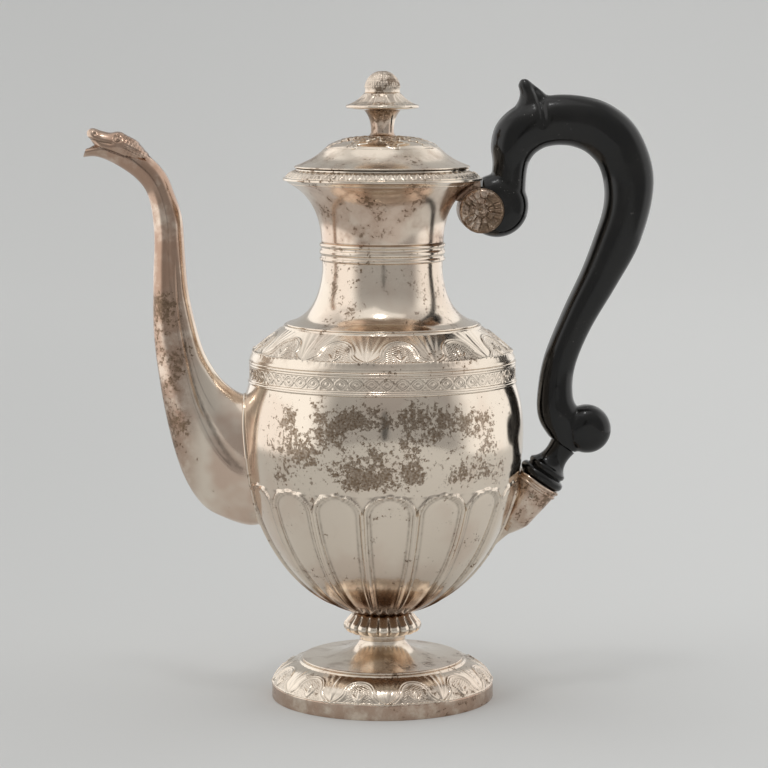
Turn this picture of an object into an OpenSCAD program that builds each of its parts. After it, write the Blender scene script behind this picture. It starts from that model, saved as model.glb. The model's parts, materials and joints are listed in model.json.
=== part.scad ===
// Empire-style silver coffee pot: fluted bowl on a round foot, hinged domed lid with a
// spool finial, beast-head spout and an ebonised S-scroll handle pinned in two sockets.
// Frame: millimetres, +Z up, origin at the centre of the foot's resting face,
// the spout points along -X and the handle along +X.

/* [Foot] */
// Radius of the foot's upright band
foot_r = 49.8; // [42:0.2:60]
// Height of the upright band
foot_band_h = 6.8; // [5:0.1:9]
// Height of the sloping leaf border above the band
foot_border_h = 10.2; // [8:0.1:13]
// Radius of the flat plate on top of the border
plate_r = 36.1; // [30:0.1:40]
// Height from the plate to the collar under the bowl
stem_h = 11.6; // [9:0.1:15]
// Radius of the stem at its narrowest
stem_r = 10.2; // [8:0.1:11]
// Radius over the lobes of the collar
collar_r = 17.6; // [15:0.1:21]
// Height of the collar
collar_h = 10.2; // [8:0.1:13]
// Number of lobes round the collar
collar_lobes = 20; // [16:1:24]

/* [Bowl] */
// Radius of the bowl at its widest
bowl_r = 62.9; // [52:0.1:76]
// Height from the bowl's seat to its widest point
bowl_low_h = 82.2; // [68:0.1:99]
// Height from the widest point to the belt
bowl_up_h = 21.5; // [18:0.1:26]
// Radius of the bowl's flat seat on the collar
bowl_seat_r = 13; // [12:0.1:14]
// Thickness of the bowl's wall
bowl_wall = 1.2; // [1:0.1:1.6]
// Number of flutes round the bowl
flutes = 16; // [12:1:20]
// Height of the tops of the flutes above the bowl's seat
flute_h = 61.2; // [50:0.1:66]
// How far the ridges of the flutes stand proud
flute_rise = 0.4; // [0.2:0.05:0.5]

/* [Shoulder and neck] */
// Outer radius of the wall behind the belt
belt_r = 58.4; // [54:0.1:60]
// Height of the belt with its two wires
belt_h = 10.2; // [8:0.1:13]
// Height of the shoulder above the belt
shoulder_h = 15.3; // [12:0.1:19]
// Radius of the neck where the ring sits
neck_r = 26.7; // [23:0.1:31]
// Height of the lower neck
neck_low_h = 28.5; // [24:0.1:34]
// Height of the moulded neck ring
neck_ring_h = 8; // [6:0.1:10]
// Height of the flared upper neck
neck_up_h = 26; // [22:0.1:31]
// Thickness of the walls of the shoulder, the neck and the foot
wall = 1; // [0.8:0.1:1.4]

/* [Rim and lid] */
// Radius of the rim's outer edge
rim_r = 43.2; // [41:0.1:50]
// Height of the rim's moulding
rim_h = 5.8; // [5:0.1:8]
// Radius of the mouth inside the rim
mouth_r = 36.6; // [34:0.1:37]
// Gap between the lid's bezel and the mouth
bezel_gap = 0.5; // [0.4:0.05:0.7]
// Depth of the bezel below the lid's edge
bezel_h = 5.3; // [4:0.1:5.6]
// Height of the lid's dome above its edge
dome_h = 13.6; // [11:0.1:16]
// Radius of the leaf rosette on the lid
rosette_r = 25; // [20:0.1:27]

/* [Finial] */
// Height of the finial's spool stem
spool_h = 11.9; // [9:0.1:14]
// Radius of the finial's dished cap
cap_r = 16.2; // [13:0.1:19]
// Height of the dished cap
cap_h = 7.6; // [6:0.1:9]
// Radius of the finial's ball
ball_r = 8; // [7:0.1:9]
// Radius of the stud that holds the finial
stud_r = 1.5; // [1.2:0.1:1.8]

/* [Hinge] */
// Outer radius of the hinge's barrel
barrel_r = 1.6; // [1.3:0.1:1.7]
// Radius of the hinge's pin
hinge_pin_r = 0.75; // [0.6:0.05:0.9]
// Running clearance between the pin and the lid's knuckle
hinge_play = 0.05; // [0.02:0.01:0.09]
// Length of the whole hinge
hinge_len = 22; // [18:0.5:26]
// Length of the lid's knuckle in the middle
knuckle_len = 7.8; // [6:0.2:9]

/* [Spout] */
// Thickness of the spout's wall
spout_wall = 0.8; // [0.6:0.1:1]
// Radius of each strainer hole behind the spout
strainer_hole_r = 1.5; // [1:0.1:1.8]

/* [Handle] */
// Radius of the round cheeks of the upper socket
socket_r = 9.9; // [9:0.1:11]
// Width of the handle between the cheeks of the upper socket
tongue_w = 17; // [15:0.1:18]
// Thickness of each cheek
cheek_t = 1.1; // [0.8:0.1:1.4]
// Radius of the lower socket's mouth
cup_r = 10.9; // [10:0.1:12]
// Radius of the handle's tenon in the lower socket
tenon_r = 7.4; // [6:0.1:7.6]
// Depth of the hole in the lower socket
cup_depth = 12; // [10:0.1:14]
// Tilt of the lower socket from upright, in degrees
cup_tilt = 34.8; // [30:0.1:39]
// Radius of the two pins through the handle
handle_pin_r = 1.2; // [1:0.1:1.4]

/* [Hidden] */
$fn = 96;

// Seat gap between soldered pieces whose faces are curved.
seat = 0.05;

// Heights of the joints between the pieces, from the table up.
z_border = foot_band_h;
z_plate = z_border + foot_border_h;
z_collar = z_plate + stem_h;
z_bowl = z_collar + collar_h;
z_wide = z_bowl + bowl_low_h;
z_belt = z_wide + bowl_up_h;
z_seam = z_belt + belt_h / 2;
z_shoulder = z_belt + belt_h;
z_neck = z_shoulder + shoulder_h;
z_ring = z_neck + neck_low_h;
z_neck_up = z_ring + neck_ring_h;
z_rim = z_neck_up + neck_up_h;
z_rim_top = z_rim + rim_h;
z_lid = z_rim_top + 0.2;
z_flute_top = z_bowl + flute_h;

// A bowl's outline is two quarter ellipses that meet at the widest point.
bowl_top_r = belt_r + 1;
bowl_b_low = bowl_low_h / sqrt(1 - pow(bowl_seat_r / bowl_r, 2));
bowl_b_up = bowl_up_h / sqrt(1 - pow(bowl_top_r / bowl_r, 2));

// Flat ring of metal left under each lid and foot edge.
land = 2.4;
neck_foot_r = 42.6;
lid_r = mouth_r + 2.4;
bezel_r = mouth_r - bezel_gap;
bezel_t = 0.8;
lid_edge = 1;
bezel_flange = 0.6;

// Hinge: the barrel lies in a notch of the rim, under the straight-cut edge of the lid.
hinge_x = lid_r - 0.8;
hinge_z = z_lid - barrel_r - 0.3;
notch_floor = hinge_z - barrel_r - 0.3;
notch_w = hinge_len + 0.8;

// Finial, from the dome's crown up.
z_crown = z_lid + bezel_flange + dome_h;
z_cap = z_crown + spool_h;
z_ball = z_cap + cap_h;

// Upper socket: centre of its round cheeks, in the XZ plane.
socket_c = [rim_r + 0.1, 0, z_rim - 11.7];
// Lower socket: centre of its mouth, and the way its axis rises.
cup_c = [bowl_r + 7.2, 0, z_wide - 23.4];
cup_dir = [sin(cup_tilt), 0, cos(cup_tilt)];

// ---------- shared shapes ----------

// Points of a quadratic curve from a to c that leans towards b.
function curve(a, b, c, n = 8) =
    [for (i = [0:n]) let (t = i / n) (1 - t) * (1 - t) * a + 2 * t * (1 - t) * b + t * t * c];

// Points of an arc about c, from angle a0 to a1.
function arc(c, r, a0, a1, n = 8) =
    [for (i = [0:n]) let (a = a0 + (a1 - a0) * i / n) c + r * [cos(a), sin(a)]];

function reversed(list) = [for (i = [len(list) - 1:-1:0]) list[i]];
function unit(v) = v / norm(v);
function smooth(t) = let (s = max(0, min(1, t))) s * s * (3 - 2 * s);

// Value of a smooth curve through a list of vectors, at parameter t from 0 to len - 1.
function through(list, t) =
    let (n = len(list) - 1, i = min(floor(t), n - 1), f = t - i,
        p0 = list[max(i - 1, 0)], p1 = list[i], p2 = list[i + 1], p3 = list[min(i + 2, n)])
    0.5 * (2 * p1 + f * (p2 - p0) + f * f * (2 * p0 - 5 * p1 + 4 * p2 - p3)
        + f * f * f * (3 * p1 - p0 - 3 * p2 + p3));

// A ring turned from an outline of [radius, height] points.
module turned(points) {
    rotate_extrude() polygon(points);
}

// Faces of a closed skin over rings of equal count: quads along it, flat ends.
function skin_faces(rings, sides) = concat(
    [for (i = [0:rings - 2], j = [0:sides - 1]) let (k = (j + 1) % sides)
        each [[i * sides + j, (i + 1) * sides + k, i * sides + k],
            [i * sides + j, (i + 1) * sides + j, (i + 1) * sides + k]]],
    [[for (j = [0:sides - 1]) j]],
    [[for (j = [sides - 1:-1:0]) (rings - 1) * sides + j]]);

module skin(rings) {
    sides = len(rings[0]);
    polyhedron(points = [for (r = rings) each r], faces = skin_faces(len(rings), sides));
}

// A station of a sweep is [x, z, x, z, half width]: the two ends of its chord in the XZ
// plane, and how far it reaches along Y. Each ring is an oval on that chord.
function oval(s, sides, inset, square) =
    let (a = [s[0], 0, s[1]], b = [s[2], 0, s[3]], mid = (a + b) / 2, u = unit(b - a),
        ra = norm(b - a) / 2 - inset, rb = s[4] - inset)
    [for (j = [0:sides - 1]) let (w = 360 * j / sides, c = cos(w), d = sin(w))
        mid + u * ra * sign(c) * pow(abs(c), square)
            + [0, 1, 0] * rb * sign(d) * pow(abs(d), square)];

module sweep(stations, sides, steps, inset = 0, square = 1) {
    n = (len(stations) - 1) * steps;
    skin([for (i = [0:n]) oval(through(stations, i / steps), sides, inset, square)]);
}

// ---------- foot ----------

module foot_band() {
    color("silver") turned(concat(
        [[foot_r - 1.2, 0], [foot_r - 0.2, 0], [foot_r, 0.3]],
        [[foot_r, z_border - 0.3], [foot_r - 0.2, z_border], [foot_r - 1.2, z_border]]));
}

module foot_border() {
    inner_r = plate_r - land;
    out = concat(curve([foot_r - 0.3, z_border], [foot_r - 1.2, z_plate - 1.4],
        [plate_r + 0.9, z_plate - 0.7]), [[plate_r + 0.4, z_plate]]);
    in = curve([inner_r + wall, z_plate - wall], [foot_r - 2.6, z_plate - 2.8],
        [foot_r - 1.4, z_border]);
    color("silver") turned(concat(out, [[inner_r, z_plate], [inner_r, z_plate - wall]], in));
}

module pedestal() {
    rise = 1.2;
    top = z_collar;
    out = concat([[plate_r - land, z_plate], [plate_r, z_plate], [plate_r, z_plate + 0.8]],
        curve([plate_r - 0.6, z_plate + 1], [stem_r + 2, z_plate + rise + 0.3],
            [stem_r, top - 2.6]), [[stem_r + 0.4, top]]);
    in = concat([[stem_r - wall, top], [stem_r - wall, top - 2.6]],
        curve([stem_r - wall, top - 2.8], [stem_r + 1, z_plate + 0.2],
            [plate_r - land - 3, z_plate]));
    color("silver") turned(concat(out, in));
}

// Lobed collar between the stem and the bowl: each ring's radius swells once a lobe.
function collar_ring(r, z, swell) =
    let (n = collar_lobes * 4)
    [for (j = [0:n - 1]) let (a = 360 * j / n,
        k = r + swell * (abs(cos(a * collar_lobes / 2)) - 0.5))
        [k * cos(a), k * sin(a), z]];

module stem_collar() {
    h = collar_h;
    profile = [[stem_r + 0.6, 0, 0], [stem_r + 2.4, 0.05, 0.5], [collar_r - 2.2, 0.16, 1.6],
        [collar_r - 0.8, 0.38, 2.1], [collar_r - 1.4, 0.58, 2.1], [bowl_seat_r + 0.6, 0.86, 1],
        [bowl_seat_r - 1.2, 1, 0]];
    color("silver") difference() {
        skin([for (p = profile) collar_ring(p[0], z_collar + p[1] * h, p[2])]);
        translate([0, 0, z_collar - 1]) cylinder(r = stem_r - wall, h = h + 2);
    }
}

// ---------- bowl ----------

// Radius of the bowl's plain surface at a height.
function bowl_at(z) = let (b = z < z_wide ? bowl_b_low : bowl_b_up)
    bowl_r * sqrt(max(0, 1 - pow((z - z_wide) / b, 2)));

// Heights from the widest point to the belt. The bowl's two faces share them, so that its
// wall keeps its thickness.
upper_levels = [for (i = [1:3]) z_wide + bowl_up_h * i / 3];

// The bowl's plain surface above its widest point, moved outwards by grow.
function upper_outline(grow) = [for (z = upper_levels) [bowl_at(z) + grow, z]];

// Everything inside the bowl's surface: what stands on the bowl is cut back to it.
module bowl_envelope(grow) {
    b = bowl_b_low + grow;
    low = [for (i = [0:14]) let (a = 78 - 78 * i / 14)
        [(bowl_r + grow) * cos(a), z_wide - b * sin(a)]];
    turned(concat([[0, low[0][1]]], low, upper_outline(grow),
        [[bowl_top_r + grow, z_belt + 1], [0, z_belt + 1]]));
}

// A flute's half width, as a share of its pitch, narrows to nothing over its round top.
flute_share = 0.86;
arch_h = 9;
function flute_half(z) = let (t = (z - (z_flute_top - arch_h)) / arch_h)
    t <= 0 ? flute_share : flute_share * pow(max(0.01, 1 - pow(t, 2.2)), 1 / 2.2);

// One row of the fluted surface. Each flute has a valley, a ridge with a toe on each side,
// and a softly raised panel between the ridges.
function flute_row(z, relief) =
    let (pitch = 360 / flutes, k = flute_half(z), toe = 0.09,
        valley = relief * smooth((k - 0.5) / 0.3),
        half = [[1, -0.45 * valley], [min(0.97, k + toe), -0.1 * valley],
            [k, flute_rise * relief], [max(k - 1.3 * toe, k / 2), -0.3 * relief],
            [0, 0.1 * relief]],
        cols = concat(half, [half[3], half[2], half[1]]),
        b = z < z_wide ? bowl_b_low : bowl_b_up,
        slope = unit([bowl_at(z) / (bowl_r * bowl_r), (z - z_wide) / (b * b)]))
    [for (f = [0:flutes - 1], i = [0:7]) let (c = cols[i], s = i < 4 ? -1 : 1,
        a = (f + s * c[0] / 2) * pitch, r = bowl_at(z) + slope[0] * c[1])
        [r * cos(a), r * sin(a), z + slope[1] * c[1]]];

module bowl_outside() {
    rows = 9;
    a0 = asin(bowl_low_h / bowl_b_low);
    a1 = asin((z_wide - (z_flute_top - arch_h)) / bowl_b_low);
    fluted = [for (i = [0:rows]) let (a = a0 + (a1 - a0) * i / rows)
        flute_row(z_wide - bowl_b_low * sin(a), i == 0 ? 0 : smooth(i / 3))];
    arches = [for (t = [0.4, 0.7, 0.9, 0.99]) flute_row(z_flute_top - arch_h * (1 - t), 1)];
    plain_from = z_flute_top + 0.7;
    plain = [for (z = concat([plain_from, (plain_from + z_wide) / 2, z_wide], upper_levels))
        flute_row(z, 0)];
    skin(concat(fluted, arches, plain));
}

module bowl_inside() {
    b = bowl_b_low - bowl_wall;
    floor_z = z_bowl + bowl_wall;
    a0 = asin((z_wide - floor_z) / b);
    low = [for (i = [0:16]) let (a = a0 * (1 - i / 16))
        [(bowl_r - bowl_wall) * cos(a), z_wide - b * sin(a)]];
    turned(concat([[0, floor_z]], low, upper_outline(-bowl_wall),
        [[belt_r - wall, z_belt + 0.6], [belt_r - wall, z_seam + 1], [0, z_seam + 1]]), $fn = 180);
}

// Holes through the wall behind the spout, in staggered rows.
module strainer_holes() {
    step = 3 * strainer_hole_r;
    for (row = [-3:3], col = [-2:2]) {
        y = (col + (row % 2 == 0 ? 0 : 0.5)) * step;
        if (abs(y) < 2.3 * step)
            translate([-bowl_r - 5, y, z_wide - 12 + row * step])
                rotate([0, 90, 0]) cylinder(r = strainer_hole_r, h = 20, $fn = 24);
    }
}

module bowl() {
    color("silver") difference() {
        union() {
            bowl_outside();
            translate([0, 0, z_belt]) cylinder(r = belt_r - seat, h = z_seam - z_belt);
        }
        bowl_inside();
        strainer_holes();
    }
}

// ---------- belt, shoulder and neck ----------

wire_h = 1.5;

module belt_wire(z, r) {
    turned(concat([[belt_r, z]], arc([r - 0.75, z + wire_h / 2], 0.75, -90, 90, 8),
        [[belt_r, z + wire_h]]));
}

module belt_wires() {
    color("silver") {
        belt_wire(z_belt, belt_r + 1.5);
        belt_wire(z_shoulder - wire_h, belt_r + 1.1);
    }
}

module belt_strip() {
    low = z_belt + wire_h;
    high = z_shoulder - wire_h;
    color("silver") turned([[belt_r, low], [belt_r + 0.7, low], [belt_r + 0.7, high],
        [belt_r, high]]);
}

module shoulder() {
    r = belt_r - seat;
    out = concat([[r, z_seam], [r, z_shoulder], [r + 0.6, z_shoulder], [r + 0.6, z_shoulder + 1.2],
        [r - 0.4, z_shoulder + 3.4]],
        curve([r - 0.8, z_shoulder + 4], [r - 7, z_shoulder + 9.5],
            [neck_foot_r + 0.8, z_neck - 0.3]), [[neck_foot_r, z_neck]]);
    in = concat([[neck_foot_r - land, z_neck], [neck_foot_r - land, z_neck - wall]],
        curve([neck_foot_r, z_neck - wall - 0.4], [r - 8.4, z_shoulder + 8.4],
            [r - 2.2, z_shoulder + 3.2]), [[r - wall, z_shoulder + 1.4], [r - wall, z_seam]]);
    color("silver") turned(concat(out, in));
}

module neck_lower() {
    edge = 0.8;
    out = concat([[neck_foot_r - land, z_neck], [neck_foot_r, z_neck], [neck_foot_r, z_neck + edge]],
        curve([neck_foot_r - 0.4, z_neck + edge + 0.2], [neck_r + 1.8, z_neck + 4],
            [neck_r, z_ring - 4]), [[neck_r, z_ring]]);
    in = concat([[neck_r - wall, z_ring], [neck_r - wall, z_ring - 4]],
        curve([neck_r - wall, z_ring - 4.2], [neck_r + 0.6, z_neck + 2.6],
            [neck_foot_r - land, z_neck + edge - 0.6]));
    color("silver") turned(concat(out, in));
}

// Moulded ring: a flat band between two fine wires.
module neck_ring() {
    r = neck_r + 1.2;
    w = 0.9;
    color("silver") turned(concat([[neck_r - wall, z_ring], [neck_r, z_ring]],
        arc([r - w, z_ring + w], w, -90, 60), arc([r - 1.6, z_ring + neck_ring_h / 2], 1.6, -55, 55),
        arc([r - w, z_ring + neck_ring_h - w], w, -60, 90),
        [[neck_r - wall, z_ring + neck_ring_h]]));
}

// Outer radius of the upper neck's flare, as a curve of [radius, height].
neck_flare = curve([neck_r + 0.3, z_neck_up], [neck_r + 0.9, z_rim - 7.3],
    [rim_r - 2.2, z_rim], 10);

module neck_upper() {
    in = curve([neck_r + 0.3 - wall, z_neck_up], [neck_r + 0.9 - wall, z_rim - 6.6],
        [rim_r - 2.2 - 2 * wall, z_rim], 10);
    color("silver") turned(concat(neck_flare, reversed(in)));
}

module rim_band() {
    low = rim_r - 2.2;
    color("silver") difference() {
        turned(concat([[mouth_r, z_rim], [low, z_rim], [low + 1.6, z_rim + 1.1],
            [rim_r, z_rim + 1.7], [rim_r, z_rim + 2.5]],
            curve([rim_r - 0.5, z_rim + 2.9], [rim_r - 1.9, z_rim_top - 0.6],
                [mouth_r + 1.9, z_rim_top], 6), [[mouth_r, z_rim_top]]));
        translate([mouth_r - 1, -notch_w / 2, notch_floor])
            cube([hinge_x + 2.2 - mouth_r + 1, notch_w, rim_h]);
    }
}

// ---------- spout ----------

// Stations from inside the bowl to the lip, outwards from the bowl's widest point: [x, z] of
// the lower wall, [x, z] of the upper wall, half width, then where the fold in each flank
// lies, in degrees from the upper wall, and its depth.
spout_stations = [
    [-14, -41, -12, 14, 17, 100, 0], [-4, -43, -2.5, 15.6, 16.6, 96, 0.3],
    [7, -39.8, 3, 18, 15, 88, 0.9], [17.6, -33.5, 9.5, 23.8, 12.6, 76, 1.1],
    [26, -20, 16, 34.5, 10.2, 68, 1.1], [32, 0, 20, 47.5, 8.4, 64, 0.9],
    [36.4, 24, 23, 62, 7.2, 62, 0.6], [38.6, 45, 24.2, 75, 6.7, 60, 0.3],
    [38.5, 68, 24.8, 86, 6.5, 60, 0], [38, 88, 25.6, 95, 6.4, 60, 0],
    [40.2, 103.4, 28.6, 104.6, 6.3, 60, 0], [45.4, 111.6, 33, 114.6, 6.2, 60, 0],
    [54.8, 118.2, 42, 123.4, 6, 60, 0], [62.6, 121.4, 53.6, 128.2, 5.4, 60, 0],
    [68.6, 121.2, 67, 125.6, 4.2, 60, 0]];
function spout_at(s) =
    [-bowl_r - s[0], z_wide + s[1], -bowl_r - s[2], z_wide + s[3], s[4], s[5], s[6]];

// A ring of the spout: an oval whose flanks are pressed in along the fold.
function folded_ring(s, inset) =
    let (a = [s[0], 0, s[1]], b = [s[2], 0, s[3]], mid = (a + b) / 2, u = unit(b - a),
        ra = norm(b - a) / 2 - inset, rb = s[4] - inset, f = s[5],
        half = [[0, 0], [f * 0.35, 0], [f * 0.68, 0], [f - 12, 0.1 * s[6]], [f, -s[6]],
            [f + 11, 0.45 * s[6]], [f + (180 - f) * 0.33, 0.1 * s[6]], [f + (180 - f) * 0.55, 0],
            [f + (180 - f) * 0.78, 0], [180, 0]],
        cols = concat(half, [for (i = [8:-1:1]) [360 - half[i][0], half[i][1]]]))
    [for (c = cols) mid + u * (ra + c[1]) * cos(c[0]) + [0, 1, 0] * (rb + c[1]) * sin(c[0])];

module spout_skin(stations, steps, inset) {
    n = (len(stations) - 1) * steps;
    skin([for (i = [0:n]) folded_ring(through(stations, i / steps), inset)]);
}

// The head sits on this line over the tube: back of the neck, throat, corner of the mouth.
head_x = -bowl_r - 38.6;
head_z = z_wide + 121.2;
module above_neckline(gap) {
    translate([0, 15, 0]) rotate([90, 0, 0]) linear_extrude(30)
        polygon([[head_x + 2.2, head_z + 14], [head_x + 2.2, head_z - 0.3 + gap],
            [head_x - 12, head_z + gap], [head_x - 22.4, head_z + 3.9 + gap],
            [head_x - 34, head_z + 3.5 + gap], [head_x - 34, head_z + 14]]);
}

module spout_tube() {
    rings = [for (s = spout_stations) spout_at(s)];
    past = [3, 0, 3, 0, 0, 0, 0];
    color("silver") difference() {
        spout_skin(rings, 3, 0);
        spout_skin([for (i = [0:len(rings) - 1])
            rings[i] + (i == 0 ? past : i == len(rings) - 1 ? -past : 0 * past)], 3, spout_wall);
        bowl_envelope(flute_rise + seat);
        above_neckline(0);
    }
}

// Head stations from the neck to the snout: [x of section, underside, crown, half width].
head_stations = [[-0.6, -2, 0.6, 4.6], [-3.2, -2.4, 3.4, 6.2], [-6.6, -2.6, 7.3, 6.9],
    [-11, -2, 9.8, 7], [-14.6, -1, 11.2, 6.6], [-18, 0, 10.8, 5.8], [-22, 2, 11.6, 4.8],
    [-25.2, 5.6, 12.7, 4.2], [-27.2, 7.8, 12.4, 3.2], [-28.3, 9.4, 11.4, 1.5]];
function head_ring(s, inset) =
    [for (j = [0:15]) let (a = 22.5 * j, h = (s[2] - s[1]) / 2 - inset)
        [head_x + s[0], (s[3] - inset) * sin(a), head_z + (s[1] + s[2]) / 2 + h * cos(a)]];

module spout_head() {
    skull = [for (s = head_stations) head_ring(s, 0)];
    hollow = [for (i = [0:6]) head_ring(head_stations[i] + (i == 0 ? [4, 0, 0, 0] : [0, 0, 0, 0]), 0.9)];
    color("silver") intersection() {
        difference() {
            skin(skull);
            skin(hollow);
        }
        above_neckline(seat);
    }
}

// ---------- handle ----------

// The handle's own frame: its points are measured from the upper socket, and the lower ones
// follow the lower socket by their share of the way down.
cup_offset = [26.8, 0, -121.3];
function handle_pt(x, z) = let (share = max(0, min(1, z / cup_offset[2])))
    socket_c + [x, 0, z] + share * (cup_c - socket_c - cup_offset);
function handle_at(s) = let (a = handle_pt(s[0], s[1]), b = handle_pt(s[2], s[3]))
    [a[0], a[2], b[0], b[2], s[4]];

// Stations from the upper volute, over the crest and down to the turned foot:
// [x, z] of the outer edge, [x, z] of the inner edge, half width.
grip_stations = [
    [4, 6, 20, 6, 8.4], [5.4, 20, 20.8, 17.8, 8.8], [4.6, 28.6, 23.2, 23.6, 9.6],
    [7.2, 38, 27.6, 27, 10], [15.4, 45.6, 32, 28.2, 10.2], [29, 50.2, 36, 28.4, 10.2],
    [43, 50.4, 41, 27.8, 10.2], [57, 46.6, 47, 25.2, 10], [69, 36.6, 52.4, 19.4, 9.9],
    [76.2, 20, 55, 10, 9.8], [76.4, 4, 54.6, 0.4, 9.5], [70.6, -16, 51.2, -10.8, 9],
    [60.4, -34.6, 45.4, -26.4, 8.2], [49.2, -53.8, 36.6, -45.6, 7.7],
    [42.6, -70.6, 28.6, -66.2, 7.5], [42, -83.6, 25.8, -84, 7.9],
    [45.2, -92, 26.8, -94, 8.2], [43.4, -109, 31.2, -101.4, 7.2]];
// The thumb piece: an ear that leans back from the crest.
spur_stations = [[12, 41, 31, 48.4, 6.6], [16.2, 47.2, 29.2, 50.6, 5.6],
    [17.3, 51.2, 26.6, 52.8, 4.4], [16.5, 54.8, 23, 55.6, 3.1], [17.6, 57.4, 20.4, 57.8, 1.5]];

// A volute: a thick disc across the handle with rounded edges.
module volute(c, r, half, soften) {
    translate(c) rotate([90, 0, 0]) turned(concat([[0, -half]],
        arc([r - soften, -half + soften], soften, -90, 0, 6),
        arc([r - soften, half - soften], soften, 0, 90, 6), [[0, half]]));
}

// Places its children with +Z along the lower socket's axis, from the middle of its mouth.
module on_cup_axis() {
    translate(cup_c) rotate([0, cup_tilt, 0]) children();
}

module turned_foot() {
    on_cup_axis() turned(concat([[0, -cup_depth + 0.5], [tenon_r, -cup_depth + 0.5],
        [tenon_r, 0.1]], arc([cup_r - 2.5, 2.4], 2.3, -90, 90, 8),
        [[cup_r - 2.4, 5.4], [cup_r - 1.9, 6], [cup_r - 1.9, 7.2]],
        curve([cup_r - 2.4, 7.8], [cup_r - 6.6, 11], [cup_r - 4.7, 19], 8), [[0, 20]]));
}

module handle_grip() {
    keep = tongue_w / 2;
    color([0.12, 0.11, 0.1]) difference() {
        union() {
            sweep([for (s = grip_stations) handle_at(s)], 16, 2, 0, 0.94);
            sweep([for (s = spur_stations) handle_at(s)], 12, 2);
            volute(handle_pt(7.4, 1.9), 14, tongue_w / 2 + 1.3, 8);
            volute(handle_pt(48.2, -98), 10.8, 9.2, 7.6);
            // The tongue that fills the space between the cheeks.
            translate(socket_c) rotate([90, 0, 0])
                cylinder(r = socket_r, h = tongue_w, center = true);
            turned_foot();
        }
        // Rebates for the two cheeks, and the bed of the barrel between them.
        for (s = [-1, 1]) translate(socket_c + [0, s * (keep + 10), 0])
            rotate([90, 0, 0]) cylinder(r = socket_r + 0.2, h = 20, center = true);
        difference() {
            translate(socket_c + [-30, 0, 0]) cube([60, 30, 60], center = true);
            translate(socket_c) rotate([90, 0, 0])
                cylinder(r = socket_r - cheek_t - seat, h = 40, center = true);
        }
        // The wood stays clear of the rim's edge and of the bowl.
        translate([0, 0, z_rim - 3]) cylinder(r = rim_r + 0.3, h = rim_h + 3.5);
        bowl_envelope(flute_rise + 0.15);
        pin_hole(socket_c);
        pin_hole(lower_pin_c);
    }
}

lower_pin_c = cup_c - 7 * cup_dir;
module pin_hole(c) {
    translate(c) rotate([90, 0, 0]) cylinder(r = handle_pin_r, h = 60, center = true, $fn = 32);
}

// Upper socket: two round cheeks, the barrel wall between them on the pot's side, and the
// arched strap that carries them from the neck.
module upper_socket() {
    keep = tongue_w / 2;
    strap_w = 8;
    color("silver") difference() {
        union() {
            for (s = [-1, 1]) translate(socket_c + [0, s * (keep + cheek_t / 2 + seat), 0])
                rotate([90, 0, 0]) cylinder(r = socket_r, h = cheek_t, center = true);
            intersection() {
                translate(socket_c) rotate([90, 0, 0]) difference() {
                    cylinder(r = socket_r, h = tongue_w + 2 * seat, center = true);
                    cylinder(r = socket_r - cheek_t, h = tongue_w + 1, center = true);
                }
                translate(socket_c + [-20.2, 0, 0]) cube([40, 30, 40], center = true);
            }
            translate([0, strap_w / 2, 0]) rotate([90, 0, 0]) linear_extrude(strap_w)
                difference() {
                    polygon([[neck_r, z_rim - 12], [neck_r + 4, z_rim - 12],
                        [socket_c[0] - socket_r + 1.5, socket_c[2] + 3],
                        [socket_c[0], socket_c[2] + socket_r - 0.4],
                        [rim_r - 0.15, z_rim + 1.4], [rim_r - 0.6, z_rim + 1.1 - 2 * seat],
                        [rim_r - 2.2, z_rim - seat], [neck_r, z_rim - seat]]);
                    translate([neck_r + 5, z_rim - 14.4]) circle(r = 6.9);
                }
        }
        neck_envelope();
        translate(socket_c) rotate([90, 0, 0])
            cylinder(r = socket_r - cheek_t, h = tongue_w + 2 * seat, center = true);
        pin_hole(socket_c);
    }
}

module neck_envelope() {
    turned(concat([[0, z_neck_up]], [for (p = neck_flare) p + [seat, 0]], [[0, z_rim]]));
}

// A stamped rosette: a boss and a ring of petals on a thin disc, on each cheek.
module rosette() {
    petals = 12;
    union() {
        cylinder(r = socket_r - 0.4, h = 0.5);
        for (i = [0:petals - 1]) rotate([0, 0, i * 360 / petals])
            translate([socket_r * 0.62, 0, 0.5]) cylinder(r1 = 1.9, r2 = 1.1, h = 0.6, $fn = 24);
        cylinder(r1 = 3, r2 = 2.2, h = 1.2);
    }
}

module socket_rosettes() {
    face = tongue_w / 2 + cheek_t + seat;
    color("silver") for (s = [-1, 1]) translate(socket_c + [0, s * face, 0])
        rotate([s * -90, 0, 0]) rosette();
}

module upper_pin() {
    h = tongue_w + 2 * cheek_t + 2 * seat;
    color("silver") translate(socket_c) rotate([90, 0, 0])
        cylinder(r = handle_pin_r, h = h, center = true, $fn = 32);
}

// Lower socket: a cone-shaped cup with a double lip. A tail runs on from it down the bowl.
tail_root = cup_c - 18 * cup_dir;
tail_drop = 31;
tail_end = [bowl_at(cup_c[2] - tail_drop) - 0.6, 0, cup_c[2] - tail_drop];

module lower_socket() {
    lip = 1.4;
    way = tail_root - tail_end;
    color("silver") difference() {
        union() {
            on_cup_axis() turned(concat([[0, -29]], curve([3, -27.5], [5.6, -24], [7.6, -20], 4),
                [[cup_r - 0.7, -lip - 0.4]], arc([cup_r - 0.7, -lip / 2], lip / 2, -60, 90, 6), [[0, 0]]));
            translate(tail_end) rotate([0, atan2(way[0], way[2]), 0])
                turned(concat([[0, 0]], curve([1.3, 0], [2.6, norm(way) * 0.6], [7.2, norm(way)], 5),
                    [[0, norm(way)]]));
        }
        on_cup_axis() translate([0, 0, -cup_depth])
            cylinder(r = tenon_r + seat, h = cup_depth + 1);
        bowl_envelope(flute_rise + seat);
        pin_hole(lower_pin_c);
    }
}

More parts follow.
